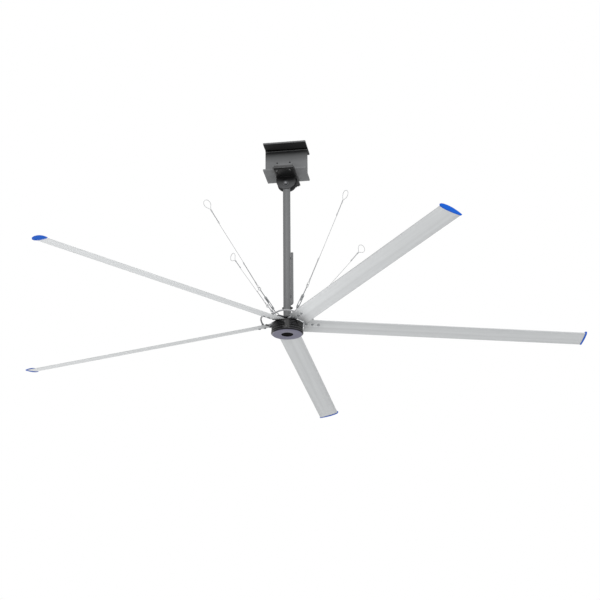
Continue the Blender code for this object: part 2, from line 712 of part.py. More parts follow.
def motor_drum():
    bead = DRUM_RADIUS + DRUM_BEAD
    seat = UPPER_BEARING_RADIUS + GAP
    housing = seat + BEARING_HOUSING
    under = DRUM_TOP - DRUM_TOP_WALL
    lip = DRUM_TOP - BEARING_LIP
    profile = [(DRUM_BORE, DRUM_BOTTOM), (bead, DRUM_BOTTOM), (bead, DRUM_BOTTOM + DRUM_BEAD_HEIGHT),
               (DRUM_RADIUS, DRUM_BOTTOM + DRUM_BEAD_HEIGHT + DRUM_BEAD),
               (DRUM_RADIUS, DRUM_TOP - DRUM_CHAMFER_HEIGHT), (DRUM_RADIUS - DRUM_CHAMFER, DRUM_TOP),
               (DRUM_EYE, DRUM_TOP), (DRUM_EYE, lip), (seat, lip), (seat, UPPER_BEARING_BOTTOM),
               (housing, UPPER_BEARING_BOTTOM), (housing, under), (DRUM_BORE, under)]
    drum = turned(profile)
    hub_hole = rod(clear_hole(HUB_BOLT_RADIUS, 6), DRUM_TOP - HUB_BOLT_DEPTH - OVERRUN,
                   DRUM_TOP + OVERRUN, 6)
    holes = []
    for angle in BLADE_ANGLES:
        for x, y in hub_bolt_places():
            holes.append(moved(hub_hole, turn_z(angle) @ Matrix.Translation((x, y, 0))))
    return combined(drum, holes)


def hub_bolt_places():
    half = HUB_BOLT_SPACING / 2
    return [(HUB_BOLT_CIRCLE, -half), (HUB_BOLT_CIRCLE, half)]


def magnet_ring():
    inner = MAGNET_RADIUS - MAGNET_THICKNESS
    low = STATOR_BOTTOM - MAGNET_THICKNESS / 2
    high = STATOR_TOP + MAGNET_THICKNESS / 2
    return turned([(inner, low), (MAGNET_RADIUS, low), (MAGNET_RADIUS, high), (inner, high)])


def bearing(inner, outer, low, high):
    """A sealed bearing."""
    return turned([(inner, low), (outer, low), (outer, high), (inner, high)], ROUND_ROD)


def bottom_cover():
    spigot = DRUM_BORE - GAP
    spigot_in = spigot - DRUM_WALL
    seat = LOWER_BEARING_RADIUS + GAP
    housing = seat + BEARING_HOUSING
    boss_top = LOWER_BEARING_TOP - BEARING_LIP
    profile = [(seat, RECESS_TOP), (RECESS_RADIUS, RECESS_TOP), (RECESS_RADIUS, COVER_BOTTOM),
               (COVER_FACE_RADIUS, COVER_BOTTOM), (COVER_RADIUS, COVER_BOTTOM + COVER_EDGE),
               (COVER_RADIUS, COVER_TOP), (spigot, COVER_TOP), (spigot, COVER_TOP + COVER_SPIGOT),
               (spigot_in, COVER_TOP + COVER_SPIGOT), (spigot_in, COVER_DISC_TOP), (housing, COVER_DISC_TOP),
               (housing, boss_top), (seat, boss_top)]
    return turned(profile)


def centre_cap():
    """A cap in the cover's recess, with a plug that closes the bearing's seat."""
    rim = RECESS_RADIUS - GAP
    face = RECESS_TOP - (RECESS_DEPTH - CAP_INSET)
    plug = LOWER_BEARING_RADIUS
    shoulder = RECESS_TOP - GAP
    return turned([(0, face), (rim - CAP_INSET, face), (rim, face + GAP), (rim, shoulder), (plug, shoulder),
                   (plug, RECESS_TOP + CAP_INSET), (0, RECESS_TOP + CAP_INSET)], ROUND_ROD)


def hub_plate():
    plate = turned([(DRUM_EYE, HUB_PLATE_BOTTOM), (HUB_PLATE_RADIUS, HUB_PLATE_BOTTOM),
                    (HUB_PLATE_RADIUS, HUB_PLATE_TOP), (DRUM_EYE, HUB_PLATE_TOP)], ROUND_ROD)
    screw = moved(hex_screw(HUB_BOLT_RADIUS, HUB_PLATE_TOP - DRUM_TOP + HUB_BOLT_DEPTH),
                  Matrix.Translation(UP * HUB_PLATE_TOP))
    screws = []
    for angle in BLADE_ANGLES:
        for x, y in hub_bolt_places():
            screws.append(moved(screw, turn_z(angle) @ Matrix.Translation((x, y, 0))))
    return combined(plate, screws, "UNION")


# Blades; a blade's own frame has X outwards, Y along the chord to the trailing edge, Z up

PITCHED = Matrix.Translation((0, BLADE_OFFSET, 0)) @ Matrix.Rotation(-BLADE_PITCH, 4, "X")


def half_thickness(share):
    """Half the section's thickness at a share of the chord."""
    full = math.sqrt(share) * (1 - share) ** 0.9
    fullest = math.sqrt(5 / 14) * (9 / 14) ** 0.9
    return BLADE_THICKNESS / 2 * full / fullest + TRAILING_EDGE / 2 * share


def camber(share):
    return 4 * BLADE_CAMBER * share * (1 - share)


def chord_place(share):
    return (share - 0.5) * CHORD


def chord_share(place):
    return place / CHORD + 0.5


def section_outline(grow=0):
    """The blade's section, counted from the trailing edge over the top and back below."""
    shares = [(1 - math.cos(math.pi * k / SECTION_STEPS)) / 2 for k in range(SECTION_STEPS + 1)]
    above = [(chord_place(s), camber(s) + half_thickness(s)) for s in reversed(shares)]
    below = [(chord_place(s), camber(s) - half_thickness(s)) for s in shares[1:]]
    outline = above + below
    if grow:
        outline = offset_outline(outline, lambda y: grow)
    return outline


def offset_outline(outline, distance_at):
    """Move each point of a counterclockwise outline out by a distance that depends on its place."""
    grown = []
    count = len(outline)
    for k, (y, z) in enumerate(outline):
        before = Vector(outline[k - 1])
        after = Vector(outline[(k + 1) % count])
        along = (after - before).normalized()
        outward = Vector((along.y, -along.x))
        place = Vector((y, z)) + outward * distance_at(y)
        grown.append((place.x, place.y))
    return grown


def cell_outline(cell, inset=0):
    """One hollow of the section, between its webs."""
    start, end, steps = cell
    trim = inset / CHORD
    shares = [start + trim + (end - start - 2 * trim) * k / steps for k in range(steps + 1)]
    above = [(chord_place(s), camber(s) + half_thickness(s) - BLADE_SKIN - inset) for s in reversed(shares)]
    below = [(chord_place(s), camber(s) - half_thickness(s) + BLADE_SKIN + inset) for s in shares]
    return above + below


def drawn_out(outline, low, high):
    """A section of the blade drawn out along the blade, in the pitched frame."""
    return moved(prism(outline, low, high), PITCHED @ SECTION_TO_X)


def surface_height(place, above):
    """Highest or lowest point of the section under a bolt's head."""
    reach = BLADE_BOLT_RADIUS * HEAD_RADIUS_SHARE
    side = 1 if above else -1
    spots = [chord_share(place + reach * k) for k in (-1, -0.5, 0, 0.5, 1)]
    heights = [side * (camber(s) + side * half_thickness(s)) for s in spots]
    return side * max(heights)


def bolt_chord_place():
    return -BLADE_OFFSET / math.cos(BLADE_PITCH)


def blade_bolt():
    """A through bolt, square to the chord, with its head below the blade."""
    place = bolt_chord_place()
    low = surface_height(place, False) - GAP
    high = surface_height(place, True) + GAP
    bolt = hex_bolt(BLADE_BOLT_RADIUS, high - low, 0)
    return moved(bolt, PITCHED @ Matrix.Translation((0, place, low)))


def blade_holes():
    place = bolt_chord_place()
    hole = rod(clear_hole(BLADE_BOLT_RADIUS, 6), -CHORD / 4, CHORD / 4, 6)
    holes = [moved(hole, PITCHED @ Matrix.Translation((station, place, 0))) for station in BLADE_BOLTS]
    link_hole = rod(clear_hole(LINK_BOLT_RADIUS, 6), 0, CHORD / 4, 6)
    for side in (-LINK_LEAD, LINK_TRAIL):
        low = tongue_height(side)
        holes.append(moved(link_hole, Matrix.Translation((LINK_STATION, side, low))))
    return holes


def tongue_height(side):
    """Height of the middle of the tongue at a distance from the radial line."""
    rise = TONGUE_RISE * math.cos(BLADE_PITCH)
    return rise - (side - BLADE_OFFSET) * math.tan(BLADE_PITCH)


def blade():
    skin = drawn_out(section_outline(), BLADE_ROOT, BLADE_END)
    cells = [drawn_out(cell_outline(cell), BLADE_ROOT - OVERRUN, BLADE_END + OVERRUN) for cell in CELL_SHARES]
    return combined(skin, cells + blade_holes())


def blade_holder():
    """A block on the drum, cranked and twisted to a tongue inside the blade, with its fasteners."""
    half = HOLDER_WIDTH / 2
    flat = [(-half, HOLDER_BOTTOM - BLADE_Z), (half, HOLDER_BOTTOM - BLADE_Z),
            (half, HOLDER_TOP - BLADE_Z), (-half, HOLDER_TOP - BLADE_Z)]
    lead = (-TONGUE_LEAD - BLADE_OFFSET) / math.cos(BLADE_PITCH)
    trail = (TONGUE_TRAIL - BLADE_OFFSET) / math.cos(BLADE_PITCH)
    low = TONGUE_RISE - TONGUE_THICKNESS / 2
    high = TONGUE_RISE + TONGUE_THICKNESS / 2
    tongue = [PITCHED @ Vector((0, y, z)) for y, z in ((lead, low), (trail, low), (trail, high), (lead, high))]
    shoulder = DRUM_RADIUS - HOLDER_SHOULDER
    start = BLADE_ROOT - OVERRUN - OVERRUN
    end = BLADE_BOLTS[-1] + TONGUE_END
    rings = [[Vector((x, y, z)) for y, z in flat] for x in (HOLDER_INNER, shoulder)]
    rings += [[Vector((x, corner.y, corner.z)) for corner in tongue] for x in (start, end)]
    body = skinned(rings)
    hub_hole = rod(clear_hole(HUB_BOLT_RADIUS, 6), -HOLDER_BLOCK, 2 * HOLDER_BLOCK, 6)
    holes = [moved(hub_hole, Matrix.Translation((x, y, 0))) for x, y in hub_bolt_places()]
    link_hole = rod(clear_hole(LINK_BOLT_RADIUS, 6), -HOLDER_BLOCK, 2 * HOLDER_BLOCK, 6)
    holes += [moved(link_hole, Matrix.Translation((LINK_STATION, y, 0))) for y in (-LINK_LEAD, LINK_TRAIL)]
    body = combined(body, holes)
    parts = [moved(blade_bolt(), Matrix.Translation((station, 0, 0))) for station in BLADE_BOLTS]
    return combined(body, parts, "UNION")


def tip_cap():
    """An end plate that stands proud of the section all round, with a plug in the blade's middle cell."""
    def lip(place):
        share = min(max(chord_share(place), 0), 1)
        return CAP_LIP * (CAP_NOSE_SHARE + (1 - CAP_NOSE_SHARE) * math.sin(math.pi * share))
    rim = offset_outline(section_outline(), lip)
    crown = offset_outline(section_outline(), lambda place: lip(place) - CAP_CROWN)
    start = BLADE_END + GAP
    end = SWEEP_RADIUS
    rings = []
    for outline, station in ((rim, start), (rim, end - CAP_CROWN), (crown, end)):
        rings.append([PITCHED @ Vector((station, y, z)) for y, z in outline])
    plug = drawn_out(cell_outline(CELL_SHARES[1], 2 * GAP), start - CAP_PLUG, start + CAP_CROWN)
    return combined(skinned(rings), [plug], "UNION")


def blade_top(side):
    """Height of the blade's top face above the blade plane, at a distance from the radial line."""
    place = (side - BLADE_OFFSET) / math.cos(BLADE_PITCH)
    for _ in range(3):
        share = chord_share(place)
        rise = camber(share) + half_thickness(share)
        place = (side - BLADE_OFFSET - rise * math.sin(BLADE_PITCH)) / math.cos(BLADE_PITCH)
    return rise * math.cos(BLADE_PITCH) - place * math.sin(BLADE_PITCH)


def blade_link():
    """A bowed bar from the trailing side of one blade to the leading side of the next."""
    step = turn_z(2 * math.pi / BLADE_COUNT)
    ends = []
    for side, turn in ((LINK_TRAIL, Matrix.Identity(4)), (-LINK_LEAD, step)):
        ends.append((turn, Vector((LINK_STATION, side, blade_top(side))), side))
    start = ends[0][0] @ (ends[0][1] + UP * LINK_FOOT / 2)
    end = ends[1][0] @ (ends[1][1] + UP * LINK_FOOT / 2)
    middle = turn_z(math.pi / BLADE_COUNT) @ Vector((1, 0, 0))
    path = []
    for k in range(LINK_STEPS + 1):
        share = k / LINK_STEPS
        bow = math.sin(math.pi * share)
        path.append(start.lerp(end, share) + middle * LINK_BOW * bow + UP * LINK_RISE * bow)
    bar = swept(path, LINK_RADIUS)
    clear = drawn_out(section_outline(GAP), BLADE_ROOT, LINK_STATION + BLADE_BOLT_PITCH)
    parts = []
    for turn, spot, side in ends:
        foot = rod(LINK_FOOT_RADIUS, -LINK_FOOT / 2, LINK_FOOT, ROUND_WIRE)
        parts.append(moved(foot, turn @ Matrix.Translation(spot)))
    link = combined(bar, parts, "UNION")
    link = combined(link, [moved(clear, turn) for turn, spot, side in ends])
    screws = []
    for turn, spot, side in ends:
        length = spot.z + LINK_FOOT - tongue_height(side)
        screw = hex_screw(LINK_BOLT_RADIUS, length)
        screws.append(moved(screw, turn @ Matrix.Translation(spot + UP * LINK_FOOT)))
    return combined(link, screws, "UNION")


# Guys; a guy's own frame has X along it, Y sideways and Z upwards

def guy_frame(angle, slope):
    along = Vector((math.cos(angle) * math.cos(slope), math.sin(angle) * math.cos(slope), math.sin(slope)))
    side = Vector((-math.sin(angle), math.cos(angle), 0))
    frame = Matrix((along, side, along.cross(side))).transposed().to_4x4()
    return frame


def hook_centre(angle):
    """Where the hook's ring stands when it bears on the lower edge of its lug's hole."""
    corner = Vector((LUG_RADIUS + LUG_HOLE, 0, GUY_PLATE_BOTTOM))
    pull = Vector((math.cos(GUY_SLOPE), 0, math.sin(GUY_SLOPE)))
    return turn_z(angle) @ (corner + pull * (HOOK_BORE - GAP))


def lower_frame(angle):
    return Matrix.Translation(hook_centre(angle)) @ guy_frame(angle, GUY_SLOPE)


def rope_start(angle):
    reach = HOOK_TO_EYE + EYE_RADIUS - EYE_WIRE - GAP - ROPE_RADIUS
    return lower_frame(angle) @ Vector((reach, 0, 0))


def rope_frame(angle):
    return Matrix.Translation(rope_start(angle)) @ guy_frame(angle, WIRE_SLOPE)


def guy_hook():
    """An open hook round the lug, and its shank with a swivel head inside the turnbuckle."""
    ring = [Vector((x, 0, z)) for x, z in arc((0, 0), HOOK_RING, HOOK_TIP_ANGLE, HOOK_NECK_ANGLE, 10)]
    neck = HOOK_RING + HOOK_WIRE + HOOK_WIRE
    path = ring + [Vector((neck, 0, 0)), Vector((neck + HOOK_WIRE, 0, 0))]
    hook = swept(path, HOOK_WIRE, 6)
    inside = HOOK_TO_FRAME + FRAME_BOSS + GAP
    shank = skinned([circle(STUD_RADIUS, neck, ROUND_WIRE), circle(STUD_RADIUS, inside, ROUND_WIRE),
                     circle(HOOK_HEAD_RADIUS, inside, ROUND_WIRE),
                     circle(HOOK_HEAD_RADIUS, inside + HOOK_HEAD, ROUND_WIRE)])
    return combined(hook, [moved(shank, Z_TO_X)], "UNION")


def turnbuckle_frame():
    start = HOOK_TO_FRAME
    end = HOOK_TO_FRAME + FRAME_LENGTH
    bore = clear_hole(STUD_RADIUS, ROUND_WIRE)
    bosses = []
    for low, high in ((start, start + FRAME_BOSS), (end - FRAME_BOSS, end)):
        ring = turned([(bore, low), (FRAME_RADIUS, low), (FRAME_RADIUS, high), (bore, high)], ROUND_WIRE)
        bosses.append(moved(ring, Z_TO_X))
    rails = []
    for side in (-1, 1):
        near = side * (HOOK_HEAD_RADIUS + GAP + GAP)
        far = near + side * FRAME_RAIL
        rails.append(block((start + FRAME_BOSS / 2, min(near, far), -FRAME_RAIL / 2),
                           (end - FRAME_BOSS / 2, max(near, far), FRAME_RAIL / 2)))
    return combined(bosses[0], rails + [bosses[1]], "UNION")


def guy_eye():
    ring = [Vector((HOOK_TO_EYE + x, 0, z)) for x, z in arc((0, 0), EYE_RADIUS, 0, 2 * math.pi, ROUND_SMALL)[:-1]]
    eye = swept(ring, EYE_WIRE, 6, closed=True)
    low = HOOK_TO_FRAME + FRAME_LENGTH - STUD_IN_FRAME
    high = HOOK_TO_EYE - EYE_RADIUS
    stud = moved(rod(STUD_RADIUS, low, high, ROUND_WIRE), Z_TO_X)
    return combined(eye, [stud], "UNION")


def rope_route():
    """The rope's centre line from its lower end, round both loops, to its upper end."""
    low = [(x, y, 0) for x, y in LOWER_LOOP]
    points = [(LOWER_TAIL_END, -ROPE_PAIR, 0), (LOWER_NECK, -ROPE_PAIR, 0)]
    points += [(x, -y, z) for x, y, z in low] + [(0, 0, 0)] + low[::-1]
    points += [(LOWER_NECK, ROPE_PAIR, 0), (LOWER_PAIR_END, ROPE_PAIR, 0)]
    loop = arc((UPPER_LOOP_CENTRE, 0), UPPER_LOOP_RADIUS, -UPPER_LOOP_SWEEP, UPPER_LOOP_SWEEP, UPPER_LOOP_STEPS)
    throat_x, throat_z = UPPER_THROAT
    high = [(UPPER_NECK, -ROPE_PAIR), (throat_x, -throat_z)] + loop + [(throat_x, throat_z), (UPPER_NECK, ROPE_PAIR)]
    high = [(UPPER_PAIR_START, -ROPE_PAIR)] + high + [(UPPER_TAIL_END, ROPE_PAIR)]
    return [Vector(point) for point in points + [(x, 0, z) for x, z in high]]


def ferrule(middle, length, wide, deep):
    """A sleeve pressed round two strands."""
    sleeve = moved(rod(1, middle - length / 2, middle + length / 2, ROUND_WIRE), Z_TO_X)
    return moved(sleeve, Matrix.Diagonal((1, wide, deep, 1)))


def guy_rope():
    """One wire rope with a loop at each end, closed by pressed ferrules."""
    data = bpy.data.curves.new("rope", "CURVE")
    data.dimensions = "3D"
    data.bevel_depth = ROPE_RADIUS
    data.bevel_resolution = 2
    data.use_fill_caps = True
    points = rope_route()
    spline = data.splines.new("POLY")
    spline.points.add(len(points) - 1)
    for spot, point in zip(spline.points, points):
        spot.co = (*point, 1)
    holder = bpy.data.objects.new("rope", data)
    bpy.context.scene.collection.objects.link(holder)
    bpy.context.view_layer.update()
    graph = bpy.context.evaluated_depsgraph_get()
    rope = bpy.data.meshes.new_from_object(holder.evaluated_get(graph))
    bpy.data.objects.remove(holder)
    ferrules = [ferrule(LOWER_INNER_FERRULE, FERRULE_INNER_LENGTH, FERRULE_ACROSS, FERRULE_THROUGH),
                ferrule(LOWER_OUTER_FERRULE, FERRULE_OUTER_LENGTH, FERRULE_ACROSS, FERRULE_THROUGH),
                ferrule(UPPER_INNER_FERRULE, FERRULE_INNER_LENGTH, FERRULE_THROUGH, FERRULE_ACROSS),
                ferrule(UPPER_OUTER_FERRULE, FERRULE_OUTER_LENGTH, FERRULE_THROUGH, FERRULE_ACROSS)]
    return combined(rope, ferrules, "UNION")


def main():
    for old in list(bpy.data.objects):
        bpy.data.objects.remove(old)
    steel = material("painted steel", (0.135, 0.135, 0.137), 0.45, 0)
    black = material("black enamel", (0.014, 0.014, 0.015), 0.35, 0)
    shaft_grey = material("grey enamel", (0.18, 0.18, 0.18), 0.4, 0)
    zinc = material("zinc plated steel", (0.45, 0.45, 0.46), 0.35, 1)
    dark_zinc = material("blackened steel", (0.03, 0.03, 0.03), 0.5, 1)
    alloy = material("anodised aluminium", (0.58, 0.58, 0.60), 0.4, 0.6)
    cast = material("cast aluminium", (0.28, 0.28, 0.29), 0.5, 0.6)
    blue = material("blue plastic", (0.05, 0.16, 0.75), 0.35, 0)
    copper = material("copper winding", (0.45, 0.16, 0.06), 0.4, 1)
    iron = material("laminated iron", (0.22, 0.22, 0.22), 0.5, 1)

    beam_axis = axis_empty("beam_axis", Matrix.Identity(4))
    pivot_axis = axis_empty("pivot_axis", Matrix.Translation(UP * PIVOT_Z), beam_axis)
    rotor_axis = axis_empty("rotor_axis", Matrix.Translation(UP * BLADE_Z), pivot_axis)

    put("beam_section", beam_section(), steel, beam_axis)
    put("clamp_plate", clamp_plate(), steel, beam_axis)
    put("clamp_bar_front", moved(clamp_bar(), turn_z(math.pi)), steel, beam_axis)
    put("clamp_bar_rear", clamp_bar(), steel, beam_axis)
    for number, (x, y) in enumerate(clamp_bolt_places(), 1):
        put(f"clamp_bolt_{number}", clamp_bolt(), dark_zinc, beam_axis, Matrix.Translation((x, y, 0)))
    put("hanger_bracket", hanger_bracket(), black, beam_axis)

    put("pivot_bolt", pivot_bolt(), zinc, pivot_axis)
    put("downrod", downrod(), shaft_grey, pivot_axis)
    put("cross_bolt", cross_bolt(), dark_zinc, pivot_axis)
    put("cable_conduit", cable_conduit(), shaft_grey, pivot_axis)
    put("guy_plate", guy_plate(), shaft_grey, pivot_axis)
    put("motor_shaft", motor_shaft(), shaft_grey, pivot_axis)
    put("stator_core", stator_core(), iron, pivot_axis)
    put("stator_winding", stator_winding(), copper, pivot_axis)

    put("motor_drum", motor_drum(), black, rotor_axis)
    put("magnet_ring", magnet_ring(), iron, rotor_axis)
    put("upper_bearing", bearing(UPPER_JOURNAL + GAP, UPPER_BEARING_RADIUS, UPPER_BEARING_BOTTOM,
                                 UPPER_BEARING_TOP), zinc, rotor_axis)
    put("lower_bearing", bearing(LOWER_JOURNAL + GAP, LOWER_BEARING_RADIUS, LOWER_BEARING_BOTTOM,
                                 LOWER_BEARING_TOP), zinc, rotor_axis)
    put("bottom_cover", bottom_cover(), shaft_grey, rotor_axis)
    put("centre_cap", centre_cap(), black, rotor_axis)
    put("hub_plate", hub_plate(), black, rotor_axis)

    shapes = (("blade", blade(), alloy), ("blade_holder", blade_holder(), cast),
              ("tip_cap", tip_cap(), blue), ("blade_link", blade_link(), alloy))
    for number, angle in enumerate(BLADE_ANGLES, 1):
        place = Matrix.Translation(UP * BLADE_Z) @ turn_z(angle)
        for name, mesh, paint in shapes:
            put(f"{name}_{number}", mesh, paint, rotor_axis, place)

    hook, frame, eye, rope = guy_hook(), turnbuckle_frame(), guy_eye(), guy_rope()
    for number, angle in enumerate(GUY_ANGLES, 1):
        lower = lower_frame(angle)
        guy_axis = axis_empty(f"guy_axis_{number}", lower, pivot_axis)
        put(f"guy_hook_{number}", hook, zinc, guy_axis, lower)
        put(f"turnbuckle_{number}", frame, zinc, guy_axis, lower)
        put(f"guy_eye_{number}", eye, zinc, guy_axis, lower)
        put(f"guy_wire_{number}", rope, zinc, guy_axis, rope_frame(angle))


main()
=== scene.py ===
"""The finished look of a large slow ceiling fan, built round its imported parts.

Metres, +Z up. The origin is the middle of the beam's top face, and the beam runs along X.
"""
import math

import bmesh
import bpy
from bpy.props import FloatProperty, FloatVectorProperty, IntProperty, PointerProperty
from mathutils import Matrix, Vector


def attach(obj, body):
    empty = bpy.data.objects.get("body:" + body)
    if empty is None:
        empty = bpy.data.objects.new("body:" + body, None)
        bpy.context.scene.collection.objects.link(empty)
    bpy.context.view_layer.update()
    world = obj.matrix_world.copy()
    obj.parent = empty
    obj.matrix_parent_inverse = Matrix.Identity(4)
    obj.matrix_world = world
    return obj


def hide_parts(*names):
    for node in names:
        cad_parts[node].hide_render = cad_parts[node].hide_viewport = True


bl_info = {
    "name": "High volume low speed ceiling fan",
    "version": (1, 0, 0),
    "blender": (4, 5, 0),
    "location": "View3D > Sidebar > Fan",
    "description": "Builds the finished surfaces of a large ceiling fan round its fixed parts",
    "category": "Object",
}

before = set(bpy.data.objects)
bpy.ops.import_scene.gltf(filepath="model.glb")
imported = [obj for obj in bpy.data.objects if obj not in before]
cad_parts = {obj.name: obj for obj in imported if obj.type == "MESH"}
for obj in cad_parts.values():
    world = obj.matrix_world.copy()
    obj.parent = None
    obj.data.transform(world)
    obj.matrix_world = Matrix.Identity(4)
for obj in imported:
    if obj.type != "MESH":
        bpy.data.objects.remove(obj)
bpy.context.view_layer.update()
MATERIALS = {}
TREES = {}

OUT = Vector((1, 0, 0))
UP = Vector((0, 0, 1))
GAP = 0.0003               # clearance between neighbouring solids
TURN = 2 * math.pi
QUARTER = math.pi / 2
CAST_EDGE = 0.0015         # rounding of cast and forged ends
Z_TO_Y = Matrix.Rotation(-QUARTER, 4, "X")
Z_TO_X = Matrix.Rotation(QUARTER, 4, "Y")
TURNED_OVER = Matrix.Rotation(math.pi, 4, "X")

# Heights
BEAM_HEIGHT = 0.250
PIVOT_Z = -0.335
BLADE_Z = -1.540
DRUM_TOP = BLADE_Z + 0.008
DRUM_BOTTOM = DRUM_TOP - 0.084
COVER_BOTTOM = BLADE_Z - 0.092
GUY_PLATE_BOTTOM = BLADE_Z + 0.0463
GUY_PLATE_TOP = GUY_PLATE_BOTTOM + 0.008
HOLDER_BLOCK = 0.020
HOLDER_TOP = DRUM_TOP + GAP + HOLDER_BLOCK
HUB_PLATE = 0.005
HUB_PLATE_TOP = HOLDER_TOP + GAP + HUB_PLATE

# Blades and their caps
BLADE_COUNT = 5
ROTOR_REST_ANGLE = math.radians(-54.8)
SWEEP_RADIUS = 2.440
CHORD = 0.166
BLADE_THICKNESS = 0.018
BLADE_CAMBER = 0.002
NOSE_POWER = 0.5           # how fast the section fills out behind its nose
TAIL_POWER = 0.9           # and how it thins towards its tail
BLADE_PITCH = math.radians(14.7)
BLADE_OFFSET = 0.026
BLADE_SKIN = 0.0022
TRAILING_EDGE = 0.0020
BLADE_ROOT = 0.142
BLADE_END = 2.4267
CELLS = ((0.035, 0.090), (0.105, 0.655), (0.670, 0.930))
BLADE_STEPS = 36
CELL_STEPS = 14
BLADE_BOLTS = (0.152, 0.201, 0.250)
BLADE_BOLT_RADIUS = 0.005
CAP_STEPS = 40
CAP_LIP_ABOVE = 0.0108
CAP_LIP_BELOW = 0.0062
LIP_LEAST = 0.45           # share of the lip's height that is the same all round
LIP_FULLEST = 0.3          # share of the chord at which the lip is highest
LIP_SPREAD = 1.4
CAP_EDGE = 0.0006
CAP_ROUNDING = ((0, 0.0040), (0.0004, 0.0024), (0.0013, 0.0010), (0.0026, 0.0002), (0.0040, 0))

# Links between the blades
LINK_STATION = BLADE_BOLTS[1]
LINK_RADIUS = 0.0062
LINK_BOW = 0.028
LINK_RISE = 0.016
LINK_LEAD = 0.026
LINK_TRAIL = 0.034
LINK_STEPS = 28
LINK_FOOT_RADIUS = 0.0095
LINK_FOOT = 0.010
LINK_SINK = 0.002          # how far a foot is let into the blade's skin
LINK_BOLT_RADIUS = 0.004

# Blade holders and hub plate
HOLDER_INNER = 0.051
HOLDER_SHOULDER = 0.122
HOLDER_SLOPED = 0.004      # how far before the blade's root the arm has reached its slope
HOLDER_WIDTH = 0.056
HOLDER_ROUNDING = 0.002
TONGUE_LEAD = 0.036
TONGUE_TRAIL = 0.042
TONGUE_THICKNESS = 0.007
TONGUE_RISE = 0.0014
TONGUE_END = 0.025
HUB_PLATE_RADIUS = 0.078
HUB_BOLT_RADIUS = 0.004
HUB_BOLT_CIRCLE = 0.064
HUB_BOLT_SPACING = 0.030

# Drum and its cover; a bead is (height from the blade plane, radius)
DRUM_RADIUS = 0.125
DRUM_BORE = 0.119
DRUM_EYE = 0.0305
DRUM_TOP_WALL = 0.012
DRUM_CHAMFER = 0.018
DRUM_CHAMFER_HEIGHT = 0.012
DRUM_RIM = 0.002
DRUM_BAND = 0.010          # height of the thicker band at the drum's foot
DRUM_BEADS = ((-0.061, 0.0024), (-0.042, 0.0012), (-0.030, 0.0012), (-0.017, 0.0012))
COVER_BEAD = (-0.0800, 0.0020)
COVER_RADIUS = 0.127
COVER_FACE_RADIUS = 0.117
COVER_EDGE = 0.008
COVER_DISC = 0.014
COVER_EYE = 0.0303
RECESS_RADIUS = 0.0475
RECESS_DEPTH = 0.008
CAP_INSET = 0.005
CAP_DISH = 0.0008

# Beam, clamp and bracket
BEAM_LENGTH = 0.348
BEAM_WIDTH = 0.250
BEAM_WEB = 0.009
BEAM_FLANGE = 0.014
BEAM_ROOT = 0.013
BEAM_TOE = 0.0025
CLAMP_BAR = 0.012
BAR_TOP = -BEAM_HEIGHT + BEAM_FLANGE + GAP + CLAMP_BAR
CLAMP_BOLT_RADIUS = 0.006
CLAMP_BOLT_SPACING = 0.104
CLAMP_BOLT_Y = BEAM_WIDTH / 2 + 0.034
CLAMP_BOLT_TIP = 0.012
BRACKET_WIDTH = 0.158
BRACKET_BASE = 0.010
BASE_EDGE = 0.011          # from a bolt's axis to the end of the base
CHEEK_THICKNESS = 0.007
CHEEK_HEIGHT = 0.107
CHEEK_CORNER = 0.070
CHEEK_IN_WELD = 0.001      # how far a cheek goes up into the base
PIVOT_BELOW_BASE = 0.0624
PIVOT_BOLT_RADIUS = 0.010
PIVOT_BOLT_TIP = 0.004
PIVOT_THREAD = 0.0015
PIVOT_WASHER_RADIUS = 0.025
PIVOT_WASHER = 0.004
WELD_RADIUS = 0.0034
WELD_STEP = 0.0028
WELD_LEAN = 0.35           # how far a ripple leans along the weld
WELD_RIPPLE = ((0, -0.4), (0.75, -0.25), (1, 0.1), (0.7, 0.6), (0, 0.85))

# Bolts: shares of a bolt's own radius, and the pitch of the smaller ones
HEAD_SHARE = 1.85          # corner radius of the hexagon
HEAD_HEIGHT = 1.30
WASHER_SHARE = 2.10
WASHER_HEIGHT = 0.16
BOLT_THREAD = 0.0010

# Rod and conduit
ROD_RADIUS = 0.03015
ROD_WALL = 0.004
ROD_ABOVE_PIVOT = 0.035
CHEEK_INNER = ROD_RADIUS + GAP
CHEEK_OUTER = CHEEK_INNER + CHEEK_THICKNESS
CROSS_BOLT_RADIUS = 0.006
CROSS_BOLT_TIP = 0.008
CROSS_BOLT_Z = BLADE_Z + 0.130
CONDUIT_RADIUS = 0.0100
CONDUIT_WALL = 0.0018
CONDUIT_BEND = 0.013
CONDUIT_X = 0.04165
CONDUIT_LOW = BLADE_Z + 0.165
CONDUIT_LENGTH = 0.440
TAB_HEIGHT = 0.020
TAB_WIDTH = 0.010
TAB_EDGE = 0.002
TAB_INSET = 0.050

# Guys
GUY_COUNT = 4
GUY_FIRST_ANGLE = math.radians(45)
GUY_SLOPE = math.radians(46.5)
WIRE_SLOPE = math.radians(50.06)
LUG_EDGE = 0.0895
HOOK_BORE = 0.011
HOOK_WIRE = 0.003
HOOK_OPENING = (math.radians(325), math.radians(38))
HOOK_TO_FRAME = 0.053
HOOK_HEAD_RADIUS = 0.0062
HOOK_HEAD = 0.006
HOOK_HEAD_EDGE = 0.0008
HOOK_TIP = ((0, -1), (0.5, -0.87), (0.87, -0.5), (1, 0), (0.87, 0.5), (0.5, 0.87), (0, 1))
FRAME_LENGTH = 0.119
FRAME_BOSS = 0.018
FRAME_RADIUS = 0.0095
FRAME_RAIL = 0.0055
RAIL_EDGE = 0.0014
RAIL_FLARE = 0.45          # how much deeper a rail is at its bosses
RAIL_FLARE_LENGTH = 0.10   # as a share of the rail
RAIL_STEPS = 14
STUD_RADIUS = 0.004
STUD_IN_FRAME = 0.056
STUD_PLAIN = 0.012         # length without thread before the eye
HOOK_TO_EYE = 0.249
